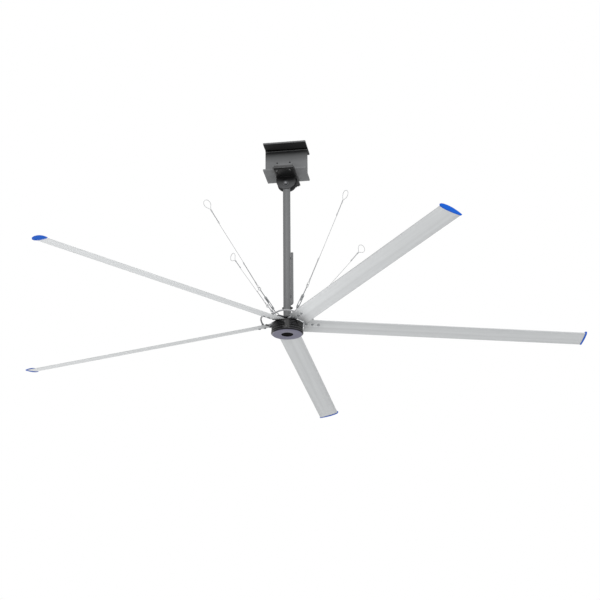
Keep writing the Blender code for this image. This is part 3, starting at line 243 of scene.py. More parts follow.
EYE_RADIUS = 0.011
EYE_WIRE = 0.0028

# The rope's route: X runs up the guy, the lower loop lies in Y and the upper one in Z
ROPE_RADIUS = 0.002
ROPE_PAIR = 0.00225        # from the middle of a doubled part to the middle of its rope
ROPE_STEP = 0.004
GROOVE_DEPTH = 0.2
LOWER_TAIL = 0.2380
LOWER_NECK = ((0.0360, ROPE_PAIR), (0.0215, 0.0061), (0.0085, 0.0086), (0.0020, 0.0056))
RUN_FROM = 0.2450
RUN_TO = 0.5850
UPPER_NECK = ((0.7240, ROPE_PAIR), (0.7320, 0.0060))
UPPER_LOOP_X = 0.7760
UPPER_LOOP_RADIUS = 0.0340
UPPER_LOOP_SWEEP = math.radians(131)
UPPER_TAIL = 0.5940

# Ferrules: half sizes, (middle, length) of each, and the tool's marks as (share of length, share of size)
FERRULE = (0.0062, 0.0040)
LOWER_FERRULES = ((0.0490, 0.022), (0.2260, 0.018))
UPPER_FERRULES = ((0.7110, 0.022), (0.6060, 0.018))
PRESS_MARKS = (
    (0, 0.90), (0.05, 1), (0.20, 1), (0.24, 0.95), (0.30, 0.95), (0.34, 1), (0.47, 1), (0.51, 0.95),
    (0.57, 0.95), (0.61, 1), (0.75, 1), (0.79, 0.95), (0.85, 0.95), (0.88, 1), (0.95, 1), (1, 0.90))

# The photograph's camera
CAMERA_DISTANCE = 13.559
CAMERA_BELOW = math.radians(20.52)
CAMERA_TURN = math.radians(8.8)
CAMERA_PAN = math.radians(-0.430)
CAMERA_TILT = math.radians(0.788)
CAMERA_ROLL = math.radians(0.279)
CAMERA_LENS = 102.96

# The studio; a lamp is (name, place, width, height, watts)
FLOOR_SIZE = 120
FLOOR_Z = -10
SKY_LIGHT = 0.62
LAMPS = (("key", (-0.6, -12, 3.2), 12, 2.2, 1050), ("fill", (9, -5, -7), 7, 7, 460),
         ("rim", (-6, 8, -8), 6, 6, 540), ("top", (0, 3, 9), 6, 6, 320))

# How finishes darken, most of it painted shade, highlight and reflection: (place along an axis, share of the
# colour), from the lowest place to the highest
# Painted shade on the blades: darker towards the root, where the drum shades them
BLADE_ROOT_PAINTED_SHADE = ((BLADE_ROOT, 0.60), (0.200, 0.82), (0.300, 0.95), (0.450, 1), (SWEEP_RADIUS, 1))
# Painted reflection on the cover: its downward face keeps the grey-blue, which stands for the pale floor seen
# in black enamel; above the face it goes black
COVER_FACE_PAINTED_REFLECTION = ((COVER_BOTTOM - 0.001, 1), (COVER_BOTTOM + 0.0010, 1), (COVER_BOTTOM + 0.0022, 0.05),
               (COVER_BOTTOM + 0.020, 0.05))
# Painted shade on the bracket: near black under the base, lighter towards the foot of the cheeks
BRACKET_PAINTED_SHADE = ((-0.390, 0.42), (-0.345, 0.30), (-0.305, 0.08), (-0.262, 0.05))
# The clamp: dark on the plate below the flange, lighter on the bars above it
CLAMP_DARK_PLATE_PALE_BARS = ((-0.300, 0.20), (-0.2390, 0.20), (-0.2350, 0.85), (-0.220, 0.85))
# Painted shade and highlight on the beam: the web darkens upwards into the top flange's shadow, a pale line
# marks the root fillet's highlight, and the flange's underside is near black
BEAM_PAINTED_SHADE_AND_HIGHLIGHT = ((-0.250, 1), (-0.130, 0.98), (-0.080, 0.60), (-0.045, 0.17), (-0.0295, 0.13), (-0.0275, 0.80),
              (-0.0245, 0.80), (-0.0225, 0.012), (-0.0139, 0.012), (-0.0130, 0.8), (0, 0.8))
BUMP_STRENGTH = 0.6


def linear(code):
    """A colour written as sRGB hex, as the linear values that Blender works in."""
    levels = [int(code[k:k + 2], 16) / 255 for k in (1, 3, 5)]
    return [v / 12.92 if v <= 0.04045 else ((v + 0.055) / 1.055) ** 2.4 for v in levels]


def colour(code, name, description):
    """A colour that the sidebar offers."""
    return FloatVectorProperty(
        name=name, description=description, subtype="COLOR", size=3, min=0, max=1, default=linear(code))


def size(value, name, description):
    """A length that the sidebar offers."""
    return FloatProperty(name=name, description=description, default=value, min=0, unit="LENGTH")


class FanColours(bpy.types.PropertyGroup):
    """Base colours of the fan's finishes."""
    blade: colour("#b7b9ba", "Blades", "Anodised aluminium of the blades")
    cap: colour("#1253b4", "Tip caps", "Moulded end caps of the blades")
    drum: colour("#161617", "Drum", "Satin enamel of the motor drum")
    # The cover's face colour is a painted reflection of the pale floor in black enamel
    cover: colour("#636272", "Bottom cover", "Enamel of the face of the cover under the motor")
    bracket: colour("#1b1b1c", "Hub plate", "Enamel of the hub plate and of the bracket's welds")
    rod: colour("#676869", "Downrod", "Powder coat of the downrod and conduit")
    beam: colour("#6f7071", "Beam", "Primer on the beam")
    link: colour("#8c8d8f", "Links", "Powder coat of the bars between the blades")
    zinc: colour("#9b9d9f", "Zinc", "Galvanised fittings of the guys")


class FanSizes(bpy.types.PropertyGroup):
    """Sizes of the details that the finish adds."""
    edge: size(0.0006, "Edge rounding", "Radius on the edges of plates and castings")
    rope_lay: size(0.026, "Rope lay", "Length in which a strand goes once round the rope")
    thread_pitch: size(0.00125, "Thread pitch", "Pitch of the turnbuckles' threads")
    strands: IntProperty(name="Strands", description="Strands in a guy wire", default=6, min=3, max=12)


# Materials

def add(tree, kind, inputs=None, **settings):
    """Add a node with its settings; an input takes a value, a socket, or a node for its first output."""
    node = tree.nodes.new(kind)
    for name, value in settings.items():
        setattr(node, name, value)
    for key, value in (inputs or {}).items():
        if isinstance(value, bpy.types.Node):
            value = value.outputs[0]
        if isinstance(value, bpy.types.NodeSocket):
            tree.links.new(value, node.inputs[key])
        else:
            node.inputs[key].default_value = value
    return node


def surface(name, base, roughness, patches, grain, metallic=0, ior=None, stretch=(1, 1, 1), uv=False,
            dark=(), axis="Z"):
    """A material whose colour drifts in patches and whose grain moves its roughness and bump.

    base is a hex code or a colour of the sidebar. patches is (size in mm, depth of the drift), and grain is
    (size in mm, spread of roughness, height in microns). stretch makes the pattern shorter (over 1) or longer
    (under 1) along an axis. dark is one of the lists above, and axis the way that it runs.
    """
    base = linear(base) if isinstance(base, str) else base
    made = bpy.data.materials.new(name)
    made.use_nodes = True
    tree = made.node_tree
    shader = tree.nodes["Principled BSDF"]
    spot = add(tree, "ShaderNodeTexCoord").outputs["UV" if uv else "Object"]
    place = add(tree, "ShaderNodeMapping", {"Vector": spot, "Scale": stretch})
    patch_size, drift = patches
    patch = add(tree, "ShaderNodeTexNoise", {
        "Vector": place, "Scale": 1000 / patch_size, "Detail": 3, "Roughness": 0.55})
    darker, lighter = [(*[min(1, v * share) for v in base], 1) for share in (1 - drift, 1 + drift)]
    paint = add(tree, "ShaderNodeMix", {0: patch, 6: darker, 7: lighter}, data_type="RGBA").outputs[2]
    if dark:
        low, high = dark[0][0], dark[-1][0]
        along = add(tree, "ShaderNodeSeparateXYZ", {"Vector": spot}).outputs[axis]
        share = add(tree, "ShaderNodeMapRange", {"Value": along, "From Min": low, "From Max": high})
        ramp = add(tree, "ShaderNodeValToRGB", {"Fac": share})
        stops = ramp.color_ramp.elements
        for k, (where, level) in enumerate((dark[0], dark[-1], *dark[1:-1])):
            stop = stops[k] if k < 2 else stops.new((where - low) / (high - low))
            stop.color = (level, level, level, 1)
        paint = add(tree, "ShaderNodeMix", {0: 1.0, 6: paint, 7: ramp}, data_type="RGBA",
                    blend_type="MULTIPLY").outputs[2]
    grain_size, spread, height = grain
    fine = add(tree, "ShaderNodeTexNoise", {"Vector": place, "Scale": 1000 / grain_size, "Detail": 2})
    rough = add(tree, "ShaderNodeMapRange", {
        "Value": fine, "To Min": roughness - spread, "To Max": roughness + spread})
    bump = add(tree, "ShaderNodeBump", {"Height": fine, "Strength": BUMP_STRENGTH, "Distance": height / 1e6})
    for key, source in (("Base Color", paint), ("Roughness", rough.outputs[0]), ("Normal", bump.outputs[0])):
        tree.links.new(source, shader.inputs[key])
    shader.inputs["Metallic"].default_value = metallic
    if ior:
        shader.inputs["IOR"].default_value = ior
    return made


def build_materials(colours):
    """All finishes, named for what the real ones are, and for the shade, highlights and reflection painted
    into some of them.
    """
    return {
        # Extruded and clear anodised: a soft sheen, with die lines along the blade, and painted shade that
        # darkens it towards its root by the hub
        "blade": surface("anodised_aluminium_extrusion", colours.blade, 0.52, (45, 0.24), (6, 0.04, 2), 0.20,
                         stretch=(0.02, 1, 1), uv=True, dark=BLADE_ROOT_PAINTED_SHADE, axis="X"),
        # Injection moulded, with a fine spark-eroded texture
        "cap": surface("moulded_blue_abs", colours.cap, 0.38, (30, 0.04), (1.2, 0.05, 30), ior=1.2),
        # Sprayed enamel: deep black with a slight orange peel
        "drum": surface("satin_black_enamel", colours.drum, 0.25, (80, 0.10), (4, 0.04, 20), ior=1.27),
        # The drum's beads: its black enamel made lighter and more metallic, a painted sheen that brings out
        # the lamp's highlight on them
        "bead": surface("black_enamel_with_painted_sheen", "#4a4a4c", 0.34, (50, 0.10), (3, 0.04, 20), 0.7),
        # Black enamel, painted grey-blue on the downward face as a painted reflection of the pale floor; the
        # wall and the recess stay black
        "cover": surface("black_enamel_with_painted_reflection", colours.cover, 0.30, (80, 0.06), (4, 0.03, 10), ior=1.25,
                         dark=COVER_FACE_PAINTED_REFLECTION),
        # Black enamel over plate and weld, a little uneven
        "bracket": surface("black_enamel_on_steel_plate", colours.bracket, 0.40, (50, 0.14), (3, 0.06, 30),
                           ior=1.2),
        # The same enamel on the bracket, with painted shade: near black under the base, lighter towards the
        # foot of the cheeks
        "bracket_painted_shade": surface("enamel_with_painted_shade", "#6c6d6f", 0.44, (50, 0.14), (3, 0.06, 30), ior=1.2,
                                dark=BRACKET_PAINTED_SHADE),
        # A greyer enamel on the disc that the guys pull on
        "guy_enamel": surface("dark_grey_enamel", "#4c4d4f", 0.44, (50, 0.12), (3, 0.06, 30), ior=1.25),
        # Sand-cast and blasted: even grey with a grain that can be felt
        "cast": surface("blasted_cast_aluminium", "#a2a4a6", 0.50, (30, 0.08), (1.6, 0.08, 60), 0.35),
        # Powder coat: even colour, pebbled surface
        "rod": surface("grey_powder_coat", colours.rod, 0.48, (120, 0.05), (2.2, 0.05, 40), ior=1.3,
                       stretch=(1, 1, 0.5)),
        "link": surface("light_grey_powder_coat", colours.link, 0.42, (50, 0.05), (1.8, 0.05, 30), ior=1.4),
        # Shop primer on hot-rolled steel, with painted shade that darkens the web upwards and makes the top
        # flange's underside near black, and a painted highlight line at the foot of the root fillet
        "beam": surface("shop_primer_with_painted_shade", colours.beam, 0.62, (60, 0.12), (3, 0.08, 80), ior=1.1,
                        stretch=(0.35, 1, 1), dark=BEAM_PAINTED_SHADE_AND_HIGHLIGHT),
        # Plate and bars: darker on the plate below the flange, lighter on the bars above it
        "clamp": surface("steel_plate_dark_below_pale_above", "#5c5d5f", 0.50, (20, 0.14), (2, 0.06, 40), 0.2,
                         dark=CLAMP_DARK_PLATE_PALE_BARS),
        # Hot-dip zinc: dull metal with a spangle
        "zinc": surface("galvanised_steel", colours.zinc, 0.42, (8, 0.10), (1.6, 0.08, 30), 0.75),
        # Drawn and galvanised wire: bright on the crowns of the strands
        "rope": surface("galvanised_wire_rope", "#9c9d9f", 0.45, (20, 0.05), (1.2, 0.06, 20), 0.35),
        # Soft aluminium, bright where the tool has pressed it
        "ferrule": surface("pressed_aluminium", "#b2b3b5", 0.38, (6, 0.06), (1, 0.06, 30), 0.8),
        # Zinc plate: bright on the bearings, duller on the blades' bolts
        "plated": surface("bright_zinc_plate", "#8f9193", 0.36, (10, 0.06), (1, 0.06, 20), 0.9),
        "bolt": surface("bright_zinc_bolts", "#8c8e90", 0.32, (10, 0.08), (1, 0.06, 20), 0.6),
        # Turned steel and zinc plate at the pivot, darkened by oil
        "pin": surface("oiled_turned_steel", "#6e6f71", 0.50, (10, 0.10), (1, 0.06, 20), 0.3),
        "nut": surface("oiled_zinc_plate", "#3a3b3d", 0.50, (10, 0.10), (1, 0.06, 20), 0.3),
        # Black oxide on machined steel
        "oxide": surface("black_oxide_steel", "#232324", 0.45, (10, 0.12), (1, 0.08, 20), 0.3),
        # Turned journals, with the tool's rings
        "shaft": surface("turned_steel", "#8e8f91", 0.30, (20, 0.05), (0.6, 0.06, 20), 0.9,
                         stretch=(0.1, 0.1, 1)),
        # A stack of varnished sheets, whose edges show as fine level lines
        "core": surface("varnished_laminations", "#5b5a5c", 0.45, (30, 0.08), (2, 0.12, 200), 0.7,
                        stretch=(0.05, 0.05, 1)),
        # Enamelled winding wire
        "copper": surface("enamelled_copper_wire", "#b5613a", 0.34, (10, 0.10), (1.5, 0.08, 200), 0.8),
        # Nickel over a sintered block
        "magnet": surface("nickel_plated_magnet", "#8b8984", 0.28, (20, 0.05), (1, 0.05, 20), 0.9),
        # Matt moulded rubber
        "rubber": surface("black_rubber_cap", "#101011", 0.6, (20, 0.08), (1, 0.06, 30), ior=1.05),
    }


# Places and outlines

def lift(height):
    """A place at a height on the axis."""
    return Matrix.Translation(UP * height)


def turn_z(angle):
    """A turn about the axis."""
    return Matrix.Rotation(angle, 4, "Z")


def axes_at(origin, x, y, z):
    """The place whose own axes are x, y and z."""
    return Matrix.Translation(origin) @ Matrix((x, y, z)).transposed().to_4x4()


def circle(steps):
    """Points of a circle of radius one."""
    return [(math.cos(TURN * k / steps), math.sin(TURN * k / steps)) for k in range(steps)]


def arc(centre, radius, start, end, steps):
    """Points of an arc, both ends among them."""
    turns = [start + (end - start) * k / steps for k in range(steps + 1)]
    return [(centre[0] + radius * math.cos(turn), centre[1] + radius * math.sin(turn)) for turn in turns]


def box(left, right, low, high):
    """The corners of a rectangle, which is also the profile of a disc or a ring."""
    return [(left, low), (right, low), (right, high), (left, high)]


def rounded(profile, radius, steps=3, keep_axis=True):
    """A closed outline with its corners rounded; those on a turned profile's axis stay."""
    done = []
    for k, corner in enumerate(profile):
        here = Vector(corner)
        if keep_axis and here.x == 0:
            done.append(tuple(here))
            continue
        before = Vector(profile[k - 1]) - here
        after = Vector(profile[(k + 1) % len(profile)]) - here
        reach = min(radius, before.length / 2.2, after.length / 2.2)
        start = here + before.normalized() * reach
        end = here + after.normalized() * reach
        for n in range(steps + 1):
            t = n / steps
            done.append(tuple(start * (1 - t) ** 2 + here * 2 * t * (1 - t) + end * t ** 2))
    return done


def softened(points, rounds=2):
    """Cut the corners of a line, with its ends kept."""
    points = [Vector(point) for point in points]
    for _ in range(rounds):
        cut = [points[0]]
        for before, after in zip(points, points[1:]):
            cut += [before.lerp(after, 0.25), before.lerp(after, 0.75)]
        points = cut + [points[-1]]
    return points


# Meshes

def mesh_from(work):
    """The mesh of a working one, which is freed."""
    mesh = bpy.data.meshes.new("mesh")
    work.to_mesh(mesh)
    work.free()
    return mesh


def skinned(rings, closed=False):
    """Join rings of points, each a list of one or of equal counts, into one closed skin."""
    work = bmesh.new()
    rows = [[work.verts.new(point) for point in ring] for ring in rings]
    pairs = list(zip(rows, rows[1:]))
    if closed:
        pairs.append((rows[-1], rows[0]))
    for low, high in pairs:
        count = max(len(low), len(high))
        for k in range(count):
            after = (k + 1) % count
            corners = [low[k % len(low)], low[after % len(low)], high[after % len(high)], high[k % len(high)]]
            corners = [v for i, v in enumerate(corners) if v not in corners[:i]]
            if len(corners) > 2:
                work.faces.new(corners)
    if not closed:
        for row in (rows[0], rows[-1]):
            if len(row) > 2:
                work.faces.new(row)
    bmesh.ops.recalc_face_normals(work, faces=work.faces[:])
    return mesh_from(work)


def turned(profile, steps, edge=0):
    """A turned piece from a closed profile of radii and heights; a solid one starts and ends on the axis."""
    rings = []
    for radius, height in rounded(profile, edge) if edge else profile:
        if radius == 0:
            rings.append([Vector((0, 0, height))])
        else:
            rings.append([Vector((radius * c, radius * s, height)) for c, s in circle(steps)])
    return skinned(rings, closed=profile[0][0] > 0)


def joined(meshes):
    """Several meshes in one, each keeping its own shells."""
    work = bmesh.new()
    for mesh in meshes:
        work.from_mesh(mesh)
    return mesh_from(work)


def moved(mesh, matrix):
    """A copy of a mesh at another place."""
    copy = mesh.copy()
    copy.transform(matrix)
    return copy


def flat_section(outlines, station, matrix):
    """A flat face with holes: the first outline is its rim."""
    work = bmesh.new()
    edges = []
    for outline in outlines:
        ring = [work.verts.new(matrix @ Vector((station, y, z))) for y, z in outline]
        edges += [work.edges.new((ring[k - 1], ring[k])) for k in range(len(ring))]
    bmesh.ops.triangle_fill(work, use_beauty=True, use_dissolve=False, edges=edges)
    outward = (matrix.to_3x3() @ OUT).normalized()
    for face in work.faces:
        face.normal_update()
        if face.normal.dot(outward) < 0:
            face.normal_flip()
    return mesh_from(work)


def softened_edges(plain, radius):
    """A copy of a mesh with its sharp edges rounded."""
    work = bmesh.new()
    work.from_mesh(plain)
    bmesh.ops.remove_doubles(work, verts=work.verts[:], dist=0.00002)
    bmesh.ops.dissolve_limit(work, angle_limit=math.radians(1), verts=work.verts[:], edges=work.edges[:])
    least = math.radians(30)
    sharp = [e for e in work.edges if len(e.link_faces) == 2 and e.calc_face_angle(0) > least]
    bmesh.ops.bevel(
        work, geom=sharp, offset=radius, segments=2, profile=0.5, affect="EDGES", clamp_overlap=True)
    bmesh.ops.triangulate(work, faces=[f for f in work.faces if len(f.verts) > 4])
    return mesh_from(work)


def piece(name, mesh, finish, body, nodes, angle=35):
    """A finished piece: it rides on its body, and stands for its CAD nodes."""
    mesh.name = name
    mesh.materials.clear()
    mesh.materials.append(MATERIALS[finish])
    mesh.shade_smooth()
    mesh.set_sharp_from_angle(angle=math.radians(angle))
    made = bpy.data.objects.new(name, mesh)
    bpy.context.scene.collection.objects.link(made)
    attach(made, body)
    if nodes:
        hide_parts(*nodes)
    return made


def numbered(count, name, make, finish, body, node, angle=35):
    """A piece for each of several like nodes; make gives the mesh for a number, which counts from nought."""
    for number in range(count):
        after = f"_{number + 1}"
        piece(name + after, make(number), finish, body.format(after), (node + after,), angle)


# Geometry Nodes

def new_tree(name, sockets):
    """A geometry tree with named inputs; sockets are (name, kind, default)."""
    tree = bpy.data.node_groups.new(name, "GeometryNodeTree")
    for label, kind, default in (("Geometry", "Geometry", None), *sockets, ("Finish", "Material", None)):
        socket = tree.interface.new_socket(name=label, in_out="INPUT", socket_type="NodeSocket" + kind)
        if default is not None:
            socket.default_value = default
    tree.interface.new_socket(name="Geometry", in_out="OUTPUT", socket_type="NodeSocketGeometry")
    return tree, add(tree, "NodeGroupInput").outputs


def end_tree(tree, given, geometry):
    """Make a tree's instances real and give them the finish."""
    real = add(tree, "GeometryNodeRealizeInstances", {"Geometry": geometry})
    done = add(tree, "GeometryNodeSetMaterial", {"Geometry": real, "Material": given["Finish"]})
    add(tree, "NodeGroupOutput", {"Geometry": done})
    return tree


def bar_tree():
    """A round bar along each curve, with closed ends."""
    tree, given = new_tree("round_bar", (("Radius", "Float", 0.005), ("Sides", "Int", 16)))
    ring = add(tree, "GeometryNodeCurvePrimitiveCircle", {
        "Resolution": given["Sides"], "Radius": given["Radius"]})
    bar = add(tree, "GeometryNodeCurveToMesh", {
        "Curve": given["Geometry"], "Profile Curve": ring, "Fill Caps": True})
    return end_tree(tree, given, bar)


def rope_tree():
    """A laid rope: a lobed section, one lobe for each strand, twists along the curve."""
    tree, given = new_tree("laid_rope", (
        ("Radius", "Float", ROPE_RADIUS), ("Strands", "Int", 6), ("Lay", "Float", 0.026),
        ("Step", "Float", ROPE_STEP), ("Depth", "Float", GROOVE_DEPTH)))
    route = add(tree, "GeometryNodeResampleCurve", {"Curve": given["Geometry"], "Length": given["Step"]},
                mode="LENGTH")
    along = add(tree, "GeometryNodeSplineParameter").outputs["Length"]
    turns = add(tree, "ShaderNodeMath", {0: along, 1: given["Lay"]}, operation="DIVIDE")
    tilt = add(tree, "ShaderNodeMath", {0: turns, 1: TURN}, operation="MULTIPLY")
    twisted = add(tree, "GeometryNodeSetCurveTilt", {"Curve": route, "Tilt": tilt})
    sides = add(tree, "ShaderNodeMath", {0: given["Strands"], 1: 4}, operation="MULTIPLY")
    ring = add(tree, "GeometryNodeCurvePrimitiveCircle", {"Resolution": sides, "Radius": given["Radius"]})
    # Every fourth point lies in a groove between two strands, and the one halfway to the next on a crown
    order = add(tree, "GeometryNodeInputIndex")
    phase = add(tree, "ShaderNodeMath", {0: order, 1: TURN / 4}, operation="MULTIPLY")
    wave = add(tree, "ShaderNodeMath", {0: phase}, operation="COSINE")
    deep = add(tree, "ShaderNodeMath", {0: 1.0, 1: given["Depth"]}, operation="SUBTRACT")
    groove = add(tree, "ShaderNodeMapRange", {
        "Value": wave, "From Min": -1.0, "From Max": 1.0, "To Min": 1.0, "To Max": deep})
    spot = add(tree, "GeometryNodeInputPosition")
    pulled = add(tree, "ShaderNodeVectorMath", {0: spot, "Scale": groove}, operation="SCALE")
    lobed = add(tree, "GeometryNodeSetPosition", {"Geometry": ring, "Position": pulled})
    rope = add(tree, "GeometryNodeCurveToMesh", {"Curve": twisted, "Profile Curve": lobed, "Fill Caps": True})
    return end_tree(tree, given, rope)


def extrusion_tree():
    """A flat section drawn out along a direction, with both ends closed."""
    tree, given = new_tree("drawn_section", (("Direction", "Vector", (1, 0, 0)), ("Length", "Float", 1.0)))
    drawn = add(tree, "GeometryNodeExtrudeMesh", {
        "Mesh": given["Geometry"], "Offset": given["Direction"], "Offset Scale": given["Length"],
        "Individual": False})
    root = add(tree, "GeometryNodeFlipFaces", {"Mesh": given["Geometry"]})
    both = add(tree, "GeometryNodeJoinGeometry")
    for part in (root, drawn):
        tree.links.new(part.outputs["Mesh"], both.inputs[0])
    whole = add(tree, "GeometryNodeMergeByDistance", {"Geometry": both, "Distance": 0.00001})
    return end_tree(tree, given, whole)


def scatter_tree():
    """A shape on each point, turned so that its Z lies along the point's own direction."""
    tree, given = new_tree("set_out", (("Shape", "Object", None), ("Scale", "Float", 1.0)))
    shape = add(tree, "GeometryNodeObjectInfo", {"Object": given["Shape"], "As Instance": True})
    aim = add(tree, "GeometryNodeInputNamedAttribute", {"Name": "aim"}, data_type="FLOAT_VECTOR")
    spin = add(tree, "GeometryNodeInputNamedAttribute", {"Name": "spin"}, data_type="FLOAT")
    aimed = add(tree, "FunctionNodeAlignRotationToVector", {"Vector": aim}, axis="Z")
    spun = add(tree, "FunctionNodeAxisAngleToRotation", {"Axis": (0, 0, 1), "Angle": spin})
    both = add(tree, "FunctionNodeRotateRotation", {"Rotation": aimed, "Rotate By": spun},
               rotation_space="LOCAL")
    placed = add(tree, "GeometryNodeInstanceOnPoints", {
        "Points": given["Geometry"], "Instance": shape.outputs["Geometry"], "Rotation": both,
        "Scale": given["Scale"]})
    return end_tree(tree, given, placed)


def grown(data, tree, **values):
    """Run a tree on a mesh or a curve, and give its result as a plain mesh."""
    holder = bpy.data.objects.new("holder", data)
    bpy.context.scene.collection.objects.link(holder)
    modifier = holder.modifiers.new(tree, "NODES")
    modifier.node_group = TREES[tree]
    for item in TREES[tree].interface.items_tree:
        key = item.name.lower()
        if item.in_out == "INPUT" and key in values:
            modifier[item.identifier] = values[key]
    bpy.context.view_layer.update()
    graph = bpy.context.evaluated_depsgraph_get()
    mesh = bpy.data.meshes.new_from_object(holder.evaluated_get(graph))
    holder.modifiers.remove(modifier)
    bpy.data.objects.remove(holder)
    return mesh


def line(points, cyclic=False):
    """A curve of one straight-sided spline through points."""
    data = bpy.data.curves.new("line", "CURVE")
    data.dimensions = "3D"
    spline = data.splines.new("POLY")
    spline.points.add(len(points) - 1)
    for spot, point in zip(spline.points, points):
        spot.co = (*point, 1)
    spline.use_cyclic_u = cyclic
    return data


def set_out(shape, places):
    """Copies of a mesh at places, each (point, direction, own turn), as one mesh."""
    source = bpy.data.objects.new("shape", shape)
    bpy.context.scene.collection.objects.link(source)
    points = bpy.data.meshes.new("places")
    points.from_pydata([place[0] for place in places], [], [])
    aim = points.attributes.new("aim", "FLOAT_VECTOR", "POINT")
    aim.data.foreach_set("vector", [v for place in places for v in place[1]])
    spin = points.attributes.new("spin", "FLOAT", "POINT")
    spin.data.foreach_set("value", [place[2] for place in places])
    mesh = grown(points, "set_out", shape=source)
    bpy.data.objects.remove(source)
    return mesh


# Bolts

def hex_head(radius):
    """A hexagon head or nut with its corners turned off, standing on zero height."""
    corner = radius * HEAD_SHARE
    height = radius * HEAD_HEIGHT
    flat = corner * math.cos(math.pi / 6)
    ease = corner * 0.10
    steps = 24
    rings = []
    # How far each level reaches: corners cut back to less than a flat leave a circle
    levels = ((corner, 0), (corner, height - ease), (flat * 1.01, height - ease / 3), (flat * 0.93, height))
    for reach, z in levels:
        ring = []
        for k, (c, s) in enumerate(circle(steps)):
            across = flat / math.cos(TURN * k / steps % (math.pi / 3) - math.pi / 6)
            r = min(across, reach)
            ring.append(Vector((r * c, r * s, z)))
        rings.append(ring)
    return skinned(rings)


def washer(radius, thickness):
    """A plain washer standing on zero height."""
    return turned(rounded(box(0, radius, 0, thickness), thickness / 3, 2), 32)


def hex_bolt_head(radius):
    """A hexagon head on its washer."""
    disc = washer(radius * WASHER_SHARE, radius * WASHER_HEIGHT)
    return joined([disc, moved(hex_head(radius), lift(radius * 0.1))])


def stud_end(radius, length, pitch):
    """The threaded end of a bolt: rings at the thread's pitch, with a chamfered tip."""
    profile = [(0, 0), (radius, 0)]
    height = pitch / 2
    while height < length - pitch:
        profile += [(radius * 0.90, height), (radius, height + pitch / 2)]
        height += pitch
    profile += [(radius * 0.98, length - pitch), (radius * 0.75, length), (0, length)]
    return turned(profile, 24)


def through_bolt(radius, low, high, tip):
    """A bolt from its head at a low place to its nut at a high one, with a threaded tip beyond."""
    head = hex_bolt_head(radius)
    return joined([
        turned(box(0, radius, low, high), 24), moved(head, lift(low) @ TURNED_OVER), moved(head, lift(high)),
        moved(stud_end(radius, tip, BOLT_THREAD), lift(high + radius * HEAD_HEIGHT))])


# Blades; a blade's own frame has X outwards, Y along the chord to the trailing edge, Z up

PITCHED = Matrix.Translation((0, BLADE_OFFSET, 0)) @ Matrix.Rotation(-BLADE_PITCH, 4, "X")


def rotor_turn(number):
    """The turn from the rotor's frame to that of a blade."""
    return turn_z(ROTOR_REST_ANGLE + number * TURN / BLADE_COUNT)


def blade_place(number):
    """A blade's own frame."""
    return lift(BLADE_Z) @ rotor_turn(number)


def half_thickness(share):
    """Half the blade's thickness at a share of its chord."""
    full = share ** NOSE_POWER * (1 - share) ** TAIL_POWER
    at = NOSE_POWER / (NOSE_POWER + TAIL_POWER)
    fullest = at ** NOSE_POWER * (1 - at) ** TAIL_POWER
    return BLADE_THICKNESS / 2 * full / fullest + TRAILING_EDGE / 2 * share


def camber(share):
    """Height of the section's middle line at a share of the chord."""
    return 4 * BLADE_CAMBER * share * (1 - share)


def blade_outline(shares, skin=0):
    """The blade's section over shares of its chord, inside a skin; its two faces share the nose's point."""
    above = [((s - 0.5) * CHORD, camber(s) + half_thickness(s) - skin) for s in reversed(shares)]
    below = [((s - 0.5) * CHORD, camber(s) - half_thickness(s) + skin) for s in shares if s > 0]
    return above + below


def whole_chord(steps):
    """Shares of the chord from nose to tail, closest together at both."""
    return [(1 - math.cos(math.pi * k / steps)) / 2 for k in range(steps + 1)]


def blade_mesh(number):
    """The extrusion with its hollow cells."""
    place = blade_place(number)
    outlines = [blade_outline(whole_chord(BLADE_STEPS))]
    for start, end in CELLS:
        shares = [start + (end - start) * k / CELL_STEPS for k in range(CELL_STEPS + 1)]
        outlines.append(blade_outline(shares, BLADE_SKIN))
    root = flat_section(outlines, BLADE_ROOT, place @ PITCHED)
    direction = (place.to_3x3() @ OUT).normalized()
    mesh = grown(root, "drawn_section", direction=direction, length=BLADE_END - BLADE_ROOT)
    lay_uv(mesh, (place @ PITCHED).inverted())
    return mesh


def lay_uv(mesh, to_local):
    """A UV map in metres: along the piece, and across it."""
    layer = mesh.uv_layers.new(name="along")
    spots = [to_local @ v.co for v in mesh.vertices]
    for loop in mesh.loops:
        spot = spots[loop.vertex_index]
        layer.data[loop.index].uv = (spot.x, spot.y + spot.z)


def cap_lip(y, z):
    """How far the cap stands out from the blade's skin at a point of the section."""
    share = min(max(y / CHORD + 0.5, 0), 1)
    height = CAP_LIP_ABOVE if z > camber(share) else CAP_LIP_BELOW
    return height * (LIP_LEAST + (1 - LIP_LEAST) * math.cos(math.pi * (share - LIP_FULLEST) / LIP_SPREAD))


def cap_mesh(number):
    """The end cap: the blade's section with a lip all round, and a rounded outer edge."""
    place = blade_place(number) @ PITCHED
    outline = blade_outline(whole_chord(CAP_STEPS))
    start = BLADE_END + GAP
    stations = [(CAP_EDGE, start), (0, start + CAP_EDGE)]
    stations += [(inset, SWEEP_RADIUS - back) for inset, back in CAP_ROUNDING]
    rings = []
    for inset, station in stations:
        ring = []
        for k, (y, z) in enumerate(outline):
            along = (Vector(outline[(k + 1) % len(outline)]) - Vector(outline[k - 1])).normalized()
            spot = Vector((y, z)) + Vector((along.y, -along.x)) * (cap_lip(y, z) - inset)
            ring.append(place @ Vector((station, spot.x, spot.y)))
        rings.append(ring)
    return skinned(rings)


class FAN_OT_blades(bpy.types.Operator):
    """Make the extruded blades and their moulded end caps"""
    bl_idname = "fan.blades"
    bl_label = "Blades and caps"

    def execute(self, context):
        numbered(BLADE_COUNT, "aerofoil", blade_mesh, "blade", "rotor", "blade", 30)
        numbered(BLADE_COUNT, "end_cap", cap_mesh, "cap", "rotor", "tip_cap", 40)
        return {"FINISHED"}


# Guy wires

